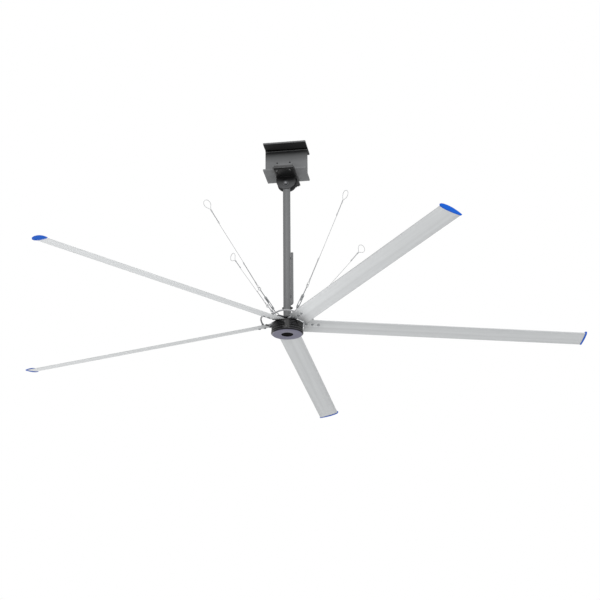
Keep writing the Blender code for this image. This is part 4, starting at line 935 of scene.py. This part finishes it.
def guy_matrix(number, slope, origin):
    """A guy's own frame: X along it, Y sideways and Z upwards. The origin is given for a guy over X."""
    angle = GUY_FIRST_ANGLE + number * TURN / GUY_COUNT
    along = Vector((math.cos(angle) * math.cos(slope), math.sin(angle) * math.cos(slope), math.sin(slope)))
    side = Vector((-math.sin(angle), math.cos(angle), 0))
    return axes_at(turn_z(angle) @ origin, along, side, along.cross(side))


# Places on a guy over X
LUG_CORNER = Vector((LUG_EDGE, 0, GUY_PLATE_BOTTOM))
PULL = Vector((math.cos(GUY_SLOPE), 0, math.sin(GUY_SLOPE)))
HOOK_MIDDLE = LUG_CORNER + PULL * (HOOK_BORE - GAP)
ROPE_START = HOOK_MIDDLE + PULL * (HOOK_TO_EYE + EYE_RADIUS - EYE_WIRE - GAP - ROPE_RADIUS)


def rope_route():
    """The rope's centre line from its lower end, round both loops, to its upper end."""
    back = [(x, -y) for x, y in LOWER_NECK]
    low = [(LOWER_TAIL, -ROPE_PAIR), *back, (0, 0), *LOWER_NECK[::-1], (RUN_FROM, ROPE_PAIR)]
    back = [(x, -z) for x, z in UPPER_NECK]
    loop = arc((UPPER_LOOP_X, 0), UPPER_LOOP_RADIUS, -UPPER_LOOP_SWEEP, UPPER_LOOP_SWEEP, 8)
    high = [(RUN_TO, -ROPE_PAIR), *back, *loop, *UPPER_NECK[::-1], (UPPER_TAIL, ROPE_PAIR)]
    return [Vector((x, y, 0)) for x, y in low] + [Vector((x, 0, z)) for x, z in high]


def ferrule(middle, length, wide, deep):
    """A pressed oval sleeve, with the marks of the pressing tool."""
    rings = []
    for share, reach in PRESS_MARKS:
        x = middle + length * (share - 0.5)
        rings.append([Vector((x, wide * reach * c, deep * reach * s)) for c, s in circle(28)])
    return skinned(rings)


class FAN_OT_guy_wires(bpy.types.Operator):
    """Make the guy wires, laid ropes with a pressed loop at each end"""
    bl_idname = "fan.guy_wires"
    bl_label = "Guy wires"

    def execute(self, context):
        sizes = context.scene.fan_sizes
        wide, deep = FERRULE
        sleeves = joined([ferrule(middle, length, wide, deep) for middle, length in LOWER_FERRULES]
                         + [ferrule(middle, length, deep, wide) for middle, length in UPPER_FERRULES])
        for number in range(GUY_COUNT):
            matrix = guy_matrix(number, WIRE_SLOPE, ROPE_START)
            route = [matrix @ point for point in rope_route()]
            mesh = grown(line(route), "laid_rope", radius=ROPE_RADIUS, strands=sizes.strands,
                         lay=sizes.rope_lay, step=ROPE_STEP, depth=GROOVE_DEPTH)
            after = f"_{number + 1}"
            body = "guy_end" + after
            rope = piece("wire_rope" + after, mesh, "rope", body, ("guy_wire" + after,), 60)
            ferrules = piece("ferrules" + after, moved(sleeves, matrix), "ferrule", body, ())
        return {"FINISHED"}


# Stage

def light_world(scene):
    """A plain sky that lights the fan, and that looks white to the camera, in gloss and through glass."""
    world = scene.world or bpy.data.worlds.new("studio")
    scene.world = world
    world.use_nodes = True
    tree = world.node_tree
    tree.nodes.clear()
    rays = add(tree, "ShaderNodeLightPath").outputs
    seen = rays["Is Camera Ray"]
    for kind in ("Is Glossy Ray", "Is Transmission Ray"):
        seen = add(tree, "ShaderNodeMath", {0: seen, 1: rays[kind]}, operation="MAXIMUM").outputs[0]
    light, white = [add(tree, "ShaderNodeBackground", {"Color": (1, 1, 1, 1), "Strength": strength})
                    for strength in (SKY_LIGHT, 1.0)]
    mix = add(tree, "ShaderNodeMixShader", {"Fac": seen, 1: light, 2: white})
    add(tree, "ShaderNodeOutputWorld", {"Surface": mix})


def hang_lamps(scene, aim):
    """The studio's soft lamps, all turned to one point."""
    for name, spot, width, height, watts in LAMPS:
        data = bpy.data.lights.new(name, "AREA")
        data.shape = "RECTANGLE"
        data.size = width
        data.size_y = height
        data.energy = watts
        lamp = bpy.data.objects.new(name, data)
        scene.collection.objects.link(lamp)
        lamp.location = spot
        lamp.rotation_euler = (aim - Vector(spot)).to_track_quat("-Z", "Y").to_euler()


def place_camera(scene, aim):
    """The photograph's camera, turned by small angles from looking straight at one point."""
    flat = math.cos(CAMERA_BELOW)
    away = Vector((math.sin(CAMERA_TURN) * flat, -math.cos(CAMERA_TURN) * flat, -math.sin(CAMERA_BELOW)))
    eye = aim + CAMERA_DISTANCE * away
    forward = (aim - eye).normalized()
    right = forward.cross(UP).normalized()
    axes = [right, right.cross(forward), forward]
    for angle, axis in ((CAMERA_PAN, 1), (CAMERA_TILT, 0), (CAMERA_ROLL, 2)):
        turn = Matrix.Rotation(angle, 3, axes[axis])
        axes = [turn @ direction for direction in axes]
    data = bpy.data.cameras.new("photo_camera")
    data.lens = CAMERA_LENS
    data.sensor_width = 36
    data.clip_end = 200
    camera = bpy.data.objects.new("photo_camera", data)
    scene.collection.objects.link(camera)
    camera.matrix_world = axes_at(eye, axes[0], axes[1], -axes[2])
    scene.camera = camera


class FAN_OT_stage(bpy.types.Operator):
    """Make the floor, the studio light and the photograph's camera"""
    bl_idname = "fan.stage"
    bl_label = "Stage"

    def execute(self, context):
        scene = context.scene
        scene.view_settings.view_transform = "Standard"
        bpy.ops.mesh.primitive_plane_add(size=FLOOR_SIZE, location=(0, 0, FLOOR_Z))
        floor = context.object
        floor.name = "floor"
        paint = bpy.data.materials.new("pale_floor")
        paint.use_nodes = True
        shader = paint.node_tree.nodes["Principled BSDF"]
        shader.inputs["Base Color"].default_value = (*linear("#f4f4f4"), 1)
        shader.inputs["Roughness"].default_value = 0.9
        floor.data.materials.append(paint)
        light_world(scene)
        hub = UP * BLADE_Z
        hang_lamps(scene, hub)
        place_camera(scene, hub)
        return {"FINISHED"}


# Links between neighbouring blades

def blade_top(side):
    """Height of a blade's top face above the blade plane, at a distance from its radial line."""
    place = (side - BLADE_OFFSET) / math.cos(BLADE_PITCH)
    for _ in range(3):
        share = place / CHORD + 0.5
        rise = camber(share) + half_thickness(share)
        place = (side - BLADE_OFFSET - rise * math.sin(BLADE_PITCH)) / math.cos(BLADE_PITCH)
    return rise * math.cos(BLADE_PITCH) - place * math.sin(BLADE_PITCH)


def link_ends(number):
    """Where a link stands on its two blades."""
    return [blade_place(number + after) @ Vector((LINK_STATION, side, blade_top(side)))
            for side, after in ((LINK_TRAIL, 0), (-LINK_LEAD, 1))]


def link_mesh(number):
    """A round bar that bows outwards and upwards between its two feet."""
    foot = turned(box(0, LINK_FOOT_RADIUS, -LINK_SINK, LINK_FOOT), 40, CAST_EDGE)
    spots = link_ends(number)
    start, end = [spot + UP * LINK_FOOT / 2 for spot in spots]
    outward = rotor_turn(number + 0.5) @ OUT
    path = []
    for k in range(LINK_STEPS + 1):
        bow = math.sin(math.pi * k / LINK_STEPS)
        path.append(start.lerp(end, k / LINK_STEPS) + outward * LINK_BOW * bow + UP * LINK_RISE * bow)
    bar = grown(line(path), "round_bar", radius=LINK_RADIUS, sides=24)
    return joined([bar] + [moved(foot, Matrix.Translation(spot)) for spot in spots])


class FAN_OT_links(bpy.types.Operator):
    """Make the bowed bars that tie neighbouring blades together"""
    bl_idname = "fan.links"
    bl_label = "Blade links"

    def execute(self, context):
        numbered(BLADE_COUNT, "link_bar", link_mesh, "link", "rotor", "blade_link")
        screws = [(spot + UP * LINK_FOOT, UP, number + 0.4 * k)
                  for number in range(BLADE_COUNT) for k, spot in enumerate(link_ends(number))]
        heads = set_out(hex_bolt_head(LINK_BOLT_RADIUS), screws)
        piece("link_screws", heads, "oxide", "rotor", ())
        return {"FINISHED"}


# Hub

def holder_arm(number):
    """An arm that lies flat on the drum, then cranks and twists to the slope of the blade."""
    place = blade_place(number)
    half = HOLDER_WIDTH / 2
    flat = box(-half, half, HOLDER_TOP - HOLDER_BLOCK - BLADE_Z, HOLDER_TOP - BLADE_Z)
    lead, trail = [(side - BLADE_OFFSET) / math.cos(BLADE_PITCH) for side in (-TONGUE_LEAD, TONGUE_TRAIL)]
    tongue = box(lead, trail, TONGUE_RISE - TONGUE_THICKNESS / 2, TONGUE_RISE + TONGUE_THICKNESS / 2)
    flat = [Vector((0, y, z)) for y, z in flat]
    tongue = [PITCHED @ Vector((0, y, z)) for y, z in tongue]
    crank = BLADE_ROOT - HOLDER_SLOPED - HOLDER_SHOULDER
    end = BLADE_BOLTS[-1] + TONGUE_END
    stations = [(HOLDER_INNER, 0, CAST_EDGE), (HOLDER_INNER + CAST_EDGE, 0, 0)]
    stations += [(HOLDER_SHOULDER + crank * k / 8, k / 8, 0) for k in range(9)]
    stations += [(end - CAST_EDGE, 1, 0), (end, 1, CAST_EDGE)]
    rings = []
    for station, share, inset in stations:
        ease = share * share * (3 - 2 * share)
        corners = [a.lerp(b, ease) for a, b in zip(flat, tongue)]
        middle = sum(corners, Vector()) / 4
        corners = [corner + (middle - corner).normalized() * inset for corner in corners]
        corners = rounded(corners, HOLDER_ROUNDING, 3, False)
        rings.append([place @ Vector((station, y, z)) for _, y, z in corners])
    return skinned(rings)


def hub_bolt_places():
    """Where the screws stand on the hub plate. Each has its own turn, so that their corners don't line up."""
    return [(rotor_turn(number) @ Vector((HUB_BOLT_CIRCLE, side, HUB_PLATE_TOP)), UP, number + side)
            for number in range(BLADE_COUNT) for side in (-HUB_BOLT_SPACING / 2, HUB_BOLT_SPACING / 2)]


def blade_bolt_places():
    """Where the through bolts stand: their heads below the blades and their nuts above, all turned apart."""
    chord = -BLADE_OFFSET / math.cos(BLADE_PITCH)
    reach = BLADE_BOLT_RADIUS * HEAD_SHARE
    shares = [(chord + reach * k) / CHORD + 0.5 for k in (-1, 0, 1)]
    places = []
    for number in range(BLADE_COUNT):
        place = blade_place(number) @ PITCHED
        normal = (place.to_3x3() @ UP).normalized()
        for station in BLADE_BOLTS:
            for side in (-1, 1):
                height = max(side * camber(share) + half_thickness(share) for share in shares)
                spot = place @ Vector((station, chord, side * height))
                places.append((spot, normal * side, station * 40 + number))
    return places


def drum_shell(edge):
    """The drum: a band at its foot, a wall, a chamfer and a top with an eye."""
    rim = DRUM_RADIUS + DRUM_RIM
    step = DRUM_BOTTOM + DRUM_BAND
    inside = DRUM_TOP - DRUM_TOP_WALL
    return turned([
        (DRUM_BORE, DRUM_BOTTOM), (rim, DRUM_BOTTOM), (rim, step), (DRUM_RADIUS, step + DRUM_RIM),
        (DRUM_RADIUS, DRUM_TOP - DRUM_CHAMFER_HEIGHT), (DRUM_RADIUS - DRUM_CHAMFER, DRUM_TOP),
        (DRUM_EYE, DRUM_TOP), (DRUM_EYE, inside), (DRUM_BORE, inside)], 128, edge)


def drum_beads():
    """Fine raised rings round the drum, and one round the cover."""
    beads = []
    for wall, (height, radius) in [(DRUM_RADIUS, bead) for bead in DRUM_BEADS] + [(COVER_RADIUS, COVER_BEAD)]:
        profile = arc((wall - radius / 2, BLADE_Z + height), radius, -QUARTER, QUARTER, 8)
        beads.append(turned(profile, 128))
    return joined(beads)


def drum_cover(edge):
    """The cover: a wall, a chamfer, and a face with a recess round the shaft."""
    recess, inside, top = COVER_BOTTOM + RECESS_DEPTH, COVER_BOTTOM + COVER_DISC, DRUM_BOTTOM - GAP
    return turned([
        (COVER_EYE, recess), (RECESS_RADIUS, recess), (RECESS_RADIUS, COVER_BOTTOM),
        (COVER_FACE_RADIUS, COVER_BOTTOM), (COVER_RADIUS, COVER_BOTTOM + COVER_EDGE), (COVER_RADIUS, top),
        (DRUM_BORE, top), (DRUM_BORE, inside), (COVER_EYE, inside)], 128, edge)


def centre_cap(edge):
    """The slightly dished cap in the cover's recess."""
    face = COVER_BOTTOM + CAP_INSET
    back = COVER_BOTTOM + RECESS_DEPTH - GAP
    rim = RECESS_RADIUS - GAP
    return turned([
        (0, face + CAP_DISH), (rim * 0.55, face + CAP_DISH / 2), (rim - CAP_INSET, face),
        (rim, face + CAP_DISH), (rim, back), (0, back)], 96, edge)


class FAN_OT_hub(bpy.types.Operator):
    """Make the motor drum, its cover, the hub plate and the blade holders"""
    bl_idname = "fan.hub"
    bl_label = "Motor and hub"

    def execute(self, context):
        edge = context.scene.fan_sizes.edge
        plate = turned(box(DRUM_EYE, HUB_PLATE_RADIUS, HOLDER_TOP + GAP, HUB_PLATE_TOP), 96, edge)
        piece("drum_shell", drum_shell(2 * edge), "drum", "rotor", ("motor_drum",))
        piece("drum_beads", drum_beads(), "bead", "rotor", ())
        piece("drum_cover", drum_cover(2 * edge), "cover", "rotor", ("bottom_cover",))
        piece("drum_cap", centre_cap(edge), "rubber", "rotor", ("centre_cap",))
        piece("hub_ring", plate, "bracket", "rotor", ("hub_plate",))
        numbered(BLADE_COUNT, "holder_arm", holder_arm, "cast", "rotor", "blade_holder")
        screws = set_out(hex_bolt_head(HUB_BOLT_RADIUS), hub_bolt_places())
        piece("hub_screws", screws, "oxide", "rotor", ())
        bolts = set_out(hex_bolt_head(BLADE_BOLT_RADIUS), blade_bolt_places())
        piece("blade_bolts", bolts, "bolt", "rotor", ())
        return {"FINISHED"}


class FAN_OT_hidden_parts(bpy.types.Operator):
    """Give the parts inside the motor their finishes"""
    bl_idname = "fan.hidden_parts"
    bl_label = "Parts inside the motor"

    def execute(self, context):
        finishes = {"motor_shaft": "shaft", "stator_core": "core", "stator_winding": "copper",
                    "magnet_ring": "magnet", "upper_bearing": "plated", "lower_bearing": "plated"}
        for node, finish in finishes.items():
            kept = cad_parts[node].data.materials
            kept.clear()
            kept.append(MATERIALS[finish])
        return {"FINISHED"}


# Beam, clamp and bracket

def beam_outline():
    """The rolled section with its toes and roots rounded: a quarter of it, mirrored twice."""
    toe, root = BEAM_WIDTH / 2 - BEAM_TOE, BEAM_WEB / 2 + BEAM_ROOT
    quarter = arc((-toe, -BEAM_TOE), BEAM_TOE, QUARTER, 2 * QUARTER, 3)
    quarter += arc((-toe, BEAM_TOE - BEAM_FLANGE), BEAM_TOE, 2 * QUARTER, 3 * QUARTER, 3)
    quarter += arc((-root, -BEAM_FLANGE - BEAM_ROOT), BEAM_ROOT, QUARTER, 0, 8)
    left = quarter + [(y, -BEAM_HEIGHT - z) for y, z in reversed(quarter)]
    return left + [(-y, z) for y, z in reversed(left)]


def hole(centre, radius):
    """The outline of a bolt's hole."""
    return arc(centre, radius + GAP, 0, TURN, 32)[:-1]


def clamp_places():
    """Where the clamp's bolts stand, as (x, y)."""
    return [(CLAMP_BOLT_SPACING * (n % 2 - 0.5), CLAMP_BOLT_Y * (-1 if n < 2 else 1)) for n in range(4)]


def bracket_plates(edge):
    """The base and the two round-ended cheeks, with the holes for their bolts."""
    bottom = PIVOT_Z + PIVOT_BELOW_BASE
    half, reach = BRACKET_WIDTH / 2, CLAMP_BOLT_Y + BASE_EDGE
    holes = [hole((y, x), CLAMP_BOLT_RADIUS) for x, y in clamp_places()]
    flat = flat_section([box(-reach, reach, -half, half)] + holes, bottom, Matrix.Rotation(-QUARTER, 4, "Y"))
    plates = [grown(flat, "drawn_section", direction=(0, 0, 1), length=BRACKET_BASE)]
    low = bottom - CHEEK_HEIGHT + CHEEK_CORNER
    side = half - CHEEK_CORNER
    rim = [(-half, bottom + CHEEK_IN_WELD), *arc((-side, low), CHEEK_CORNER, 2 * QUARTER, 3 * QUARTER, 24)]
    rim += [*arc((side, low), CHEEK_CORNER, 3 * QUARTER, TURN, 24), (half, bottom + CHEEK_IN_WELD)]
    for station in (CHEEK_INNER, -CHEEK_OUTER):
        flat = flat_section([rim, hole((0, PIVOT_Z), PIVOT_BOLT_RADIUS)], station, turn_z(QUARTER))
        plates.append(grown(flat, "drawn_section", direction=(0, 1, 0), length=CHEEK_THICKNESS))
    return joined([softened_edges(plate, edge) for plate in plates])


def weld_places():
    """Where the ripples of the welds between the bracket's base and its cheeks lie."""
    places = []
    count = int(BRACKET_WIDTH / WELD_STEP)
    for face, lean in ((CHEEK_INNER, -1), (CHEEK_OUTER, 1)):
        for side in (-1, 1):
            aim = Vector((WELD_LEAN, side * lean, -1)).normalized()
            for k in range(count + 1):
                x = -BRACKET_WIDTH / 2 + BRACKET_WIDTH * k / count
                places.append((Vector((x, side * face, PIVOT_Z + PIVOT_BELOW_BASE)), aim, 0.3 * k))
    return places


class FAN_OT_mounting(bpy.types.Operator):
    """Make the beam, its clamp and the bracket that the downrod hangs from"""
    bl_idname = "fan.mounting"
    bl_label = "Beam, clamp and bracket"

    def execute(self, context):
        edge = context.scene.fan_sizes.edge
        section = flat_section([beam_outline()], -BEAM_LENGTH / 2, Matrix.Identity(4))
        beam = grown(section, "drawn_section", direction=(1, 0, 0), length=BEAM_LENGTH)
        piece("rolled_beam", beam, "beam", "mounting", ("beam_section",))
        for name, node in (("clamp_sheet", "clamp_plate"), ("front_bar", "clamp_bar_front"),
                           ("rear_bar", "clamp_bar_rear")):
            mesh = softened_edges(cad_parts[node].data, 2 * edge)
            piece(name, mesh, "clamp", "mounting", (node,))
        piece("bracket_plates", bracket_plates(2 * edge), "bracket_painted_shade", "mounting", ("hanger_bracket",))
        ripple = turned([(WELD_RADIUS * radius, WELD_RADIUS * height) for radius, height in WELD_RIPPLE], 10)
        piece("weld_beads", set_out(ripple, weld_places()), "bracket", "mounting", ())
        low, high = PIVOT_Z + PIVOT_BELOW_BASE - GAP, BAR_TOP + GAP
        stud = through_bolt(CLAMP_BOLT_RADIUS, low, high, CLAMP_BOLT_TIP)
        places = [Matrix.Translation((x, y, 0)) for x, y in clamp_places()]
        numbered(len(places), "clamp_stud", lambda number: moved(stud, places[number]), "oxide", "mounting",
                 "clamp_bolt")
        self.pivot()
        return {"FINISHED"}

    def pivot(self):
        """The pin that the rod hangs on, with a washer and a nut at each end."""
        half = CHEEK_OUTER + GAP
        far = half + PIVOT_WASHER
        place = lift(PIVOT_Z) @ Z_TO_Y
        shank = turned(box(0, PIVOT_BOLT_RADIUS, -half, half), 32)
        tip = moved(stud_end(PIVOT_BOLT_RADIUS, PIVOT_BOLT_TIP, PIVOT_THREAD),
                    lift(far + PIVOT_BOLT_RADIUS * HEAD_HEIGHT))
        end = [moved(washer(PIVOT_WASHER_RADIUS, PIVOT_WASHER), lift(half)),
               moved(hex_head(PIVOT_BOLT_RADIUS), lift(far))]
        pin = joined([shank, tip, moved(tip, TURNED_OVER)])
        nuts = joined(end + [moved(mesh, TURNED_OVER) for mesh in end])
        piece("pivot_pin", moved(pin, place), "pin", "suspension", ("pivot_bolt",))
        piece("pivot_nuts", moved(nuts, place), "nut", "suspension", ())


# Downrod

def tube_along(path, radius, bore):
    """An open tube along a path of points, with its wall closed at both ends."""
    path = [Vector(point) for point in path]
    inside, outside = [], []
    side = None
    for k, point in enumerate(path):
        along = (path[min(k + 1, len(path) - 1)] - path[max(k - 1, 0)]).normalized()
        side = along.orthogonal() if side is None else side - along * side.dot(along)
        side.normalize()
        other = along.cross(side)
        for rings, reach in ((inside, bore), (outside, radius)):
            rings.append([point + reach * (side * c + other * s) for c, s in circle(32)])
    return skinned(outside + inside[::-1], closed=True)


def conduit_mesh(mouth):
    """The bent tube from its mouth in the rod's wall, with two tabs that hold it to the rod."""
    bend = (CONDUIT_X - CONDUIT_BEND, CONDUIT_LOW + CONDUIT_BEND)
    top = CONDUIT_LOW + CONDUIT_LENGTH
    route = [(CONDUIT_X, top), *arc(bend, CONDUIT_BEND, 0, -QUARTER, 10), (mouth, CONDUIT_LOW)]
    parts = [tube_along([(x, 0, z) for x, z in route], CONDUIT_RADIUS, CONDUIT_RADIUS - CONDUIT_WALL)]
    half = TAB_HEIGHT / 2
    flat = half - TAB_EDGE
    for middle in (bend[1] + TAB_INSET, top - TAB_INSET):
        rings = []
        for height, inset in ((-half, TAB_EDGE), (-flat, 0), (flat, 0), (half, TAB_EDGE)):
            wide = (TAB_WIDTH - inset) / 2
            corners = box(ROD_RADIUS - GAP, CONDUIT_X - CONDUIT_RADIUS / 2, -wide, wide)
            rings.append([Vector((x, y, middle + height)) for x, y in corners])
        parts.append(skinned(rings))
    return joined(parts)


class FAN_OT_downrod(bpy.types.Operator):
    """Make the downrod, the conduit beside it, the cross bolt and the guy plate"""
    bl_idname = "fan.downrod"
    bl_label = "Downrod"

    def execute(self, context):
        edge = context.scene.fan_sizes.edge
        bore = ROD_RADIUS - ROD_WALL
        pipe = turned(box(bore, ROD_RADIUS, GUY_PLATE_TOP + GAP, PIVOT_Z + ROD_ABOVE_PIVOT), 72, edge)
        piece("rod_pipe", pipe, "rod", "suspension", ("downrod",))
        piece("conduit_tube", conduit_mesh(bore), "rod", "suspension", ("cable_conduit",))
        half = ROD_RADIUS + GAP
        bolt = through_bolt(CROSS_BOLT_RADIUS, -half, half, CROSS_BOLT_TIP)
        piece("cross_pin", moved(bolt, lift(CROSS_BOLT_Z) @ Z_TO_X), "oxide", "suspension", ("cross_bolt",))
        disc = softened_edges(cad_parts["guy_plate"].data, edge)
        piece("guy_disc", disc, "guy_enamel", "suspension", ("guy_plate",))
        return {"FINISHED"}


# Guy fittings, each in its guy's own frame

def hook_parts():
    """The open hook, with a ball at its tip and a shank whose head is held in the turnbuckle."""
    neck = HOOK_BORE + 3 * HOOK_WIRE
    path = [(x, 0, z) for x, z in arc((0, 0), HOOK_BORE + HOOK_WIRE, *HOOK_OPENING, 36)]
    path += [(neck - HOOK_WIRE, 0, HOOK_WIRE), (neck, 0, 0), (neck + HOOK_WIRE, 0, 0)]
    path = path[:-4] + softened(path[-4:])
    hook = grown(line(path), "round_bar", radius=HOOK_WIRE, sides=20)
    tip = turned([(HOOK_WIRE * radius, HOOK_WIRE * height) for radius, height in HOOK_TIP], 20)
    inside = HOOK_TO_FRAME + FRAME_BOSS + GAP
    end = inside + HOOK_HEAD
    shank = turned([
        (0, neck - HOOK_WIRE), (STUD_RADIUS, neck), (STUD_RADIUS, inside), (HOOK_HEAD_RADIUS, inside),
        (HOOK_HEAD_RADIUS, end), (0, end)], 32, HOOK_HEAD_EDGE)
    return joined([hook, moved(tip, Matrix.Translation(path[0])), moved(shank, Z_TO_X)])


def frame_parts():
    """Two bored bosses joined by two rails that flare into them."""
    start, end = HOOK_TO_FRAME, HOOK_TO_FRAME + FRAME_LENGTH
    parts = []
    for low, high in ((start, start + FRAME_BOSS), (end - FRAME_BOSS, end)):
        boss = turned(box(STUD_RADIUS + GAP, FRAME_RADIUS, low, high), 40, CAST_EDGE)
        parts.append(moved(boss, Z_TO_X))
    near = HOOK_HEAD_RADIUS + 2 * GAP
    for side in (-1, 1):
        rings = []
        for k in range(RAIL_STEPS + 1):
            share = k / RAIL_STEPS
            flare = 1 + RAIL_FLARE * math.exp(-((0.5 - abs(share - 0.5)) / RAIL_FLARE_LENGTH) ** 2)
            x = start + FRAME_BOSS / 2 + (FRAME_LENGTH - FRAME_BOSS) * share
            deep = FRAME_RAIL / 2 * flare
            corners = [Vector((x, side * y, z)) for y, z in box(near, near + FRAME_RAIL, -deep, deep)]
            rings.append([Vector(point) for point in rounded(corners, RAIL_EDGE, 3, False)])
        parts.append(skinned(rings))
    return joined(parts)


def eye_parts(pitch):
    """The eye with its threaded stud."""
    ring = [(HOOK_TO_EYE + x, 0, z) for x, z in arc((0, 0), EYE_RADIUS, 0, TURN, 48)[:-1]]
    eye = grown(line(ring, True), "round_bar", radius=EYE_WIRE, sides=20)
    low, high = HOOK_TO_FRAME + FRAME_LENGTH - STUD_IN_FRAME, HOOK_TO_EYE - EYE_RADIUS
    profile = [(0, low), (STUD_RADIUS * 0.8, low)]
    height = low + pitch
    while height < high - STUD_PLAIN:
        profile += [(STUD_RADIUS * 0.86, height - pitch / 2), (STUD_RADIUS, height)]
        height += pitch
    profile += [(STUD_RADIUS, high), (0, high)]
    return joined([eye, moved(turned(profile, 20), Z_TO_X)])


class FAN_OT_guy_fittings(bpy.types.Operator):
    """Make the hooks, turnbuckle frames and threaded eyes of the guys"""
    bl_idname = "fan.guy_fittings"
    bl_label = "Guy fittings"

    def execute(self, context):
        pitch = context.scene.fan_sizes.thread_pitch
        places = [guy_matrix(number, GUY_SLOPE, HOOK_MIDDLE) for number in range(GUY_COUNT)]
        for name, mesh, node, body in (("hook", hook_parts(), "guy_hook", "suspension"),
                                       ("frame", frame_parts(), "turnbuckle", "turnbuckle{}"),
                                       ("eye", eye_parts(pitch), "guy_eye", "guy_end{}")):
            numbered(GUY_COUNT, name, lambda number: moved(mesh, places[number]), "zinc", body, node)
        return {"FINISHED"}


STEPS = (FAN_OT_stage, FAN_OT_guy_wires, FAN_OT_blades, FAN_OT_links, FAN_OT_hub, FAN_OT_hidden_parts,
         FAN_OT_mounting, FAN_OT_downrod, FAN_OT_guy_fittings)


class FAN_PT_panel(bpy.types.Panel):
    """The fan's sizes, colours and steps in the sidebar"""
    bl_label = "Ceiling fan"
    bl_idname = "FAN_PT_panel"
    bl_space_type = "VIEW_3D"
    bl_region_type = "UI"
    bl_category = "Fan"

    def draw(self, context):
        for group in (context.scene.fan_sizes, context.scene.fan_colours):
            column = self.layout.column()
            for name in group.bl_rna.properties.keys():
                if name not in ("rna_type", "name"):
                    column.prop(group, name)
        for step in STEPS:
            self.layout.operator(step.bl_idname)


CLASSES = (FanColours, FanSizes) + STEPS + (FAN_PT_panel,)


def register():
    for made in CLASSES:
        bpy.utils.register_class(made)
    bpy.types.Scene.fan_colours = PointerProperty(type=FanColours)
    bpy.types.Scene.fan_sizes = PointerProperty(type=FanSizes)


def unregister():
    del bpy.types.Scene.fan_sizes
    del bpy.types.Scene.fan_colours
    for made in reversed(CLASSES):
        bpy.utils.unregister_class(made)


def main():
    register()
    MATERIALS.update(build_materials(bpy.context.scene.fan_colours))
    TREES.update({"round_bar": bar_tree(), "laid_rope": rope_tree(), "drawn_section": extrusion_tree(),
                  "set_out": scatter_tree()})
    for step in STEPS:
        group, name = step.bl_idname.split(".")
        getattr(getattr(bpy.ops, group), name)()
    bpy.context.view_layer.update()


if __name__ == "__main__":
    main()
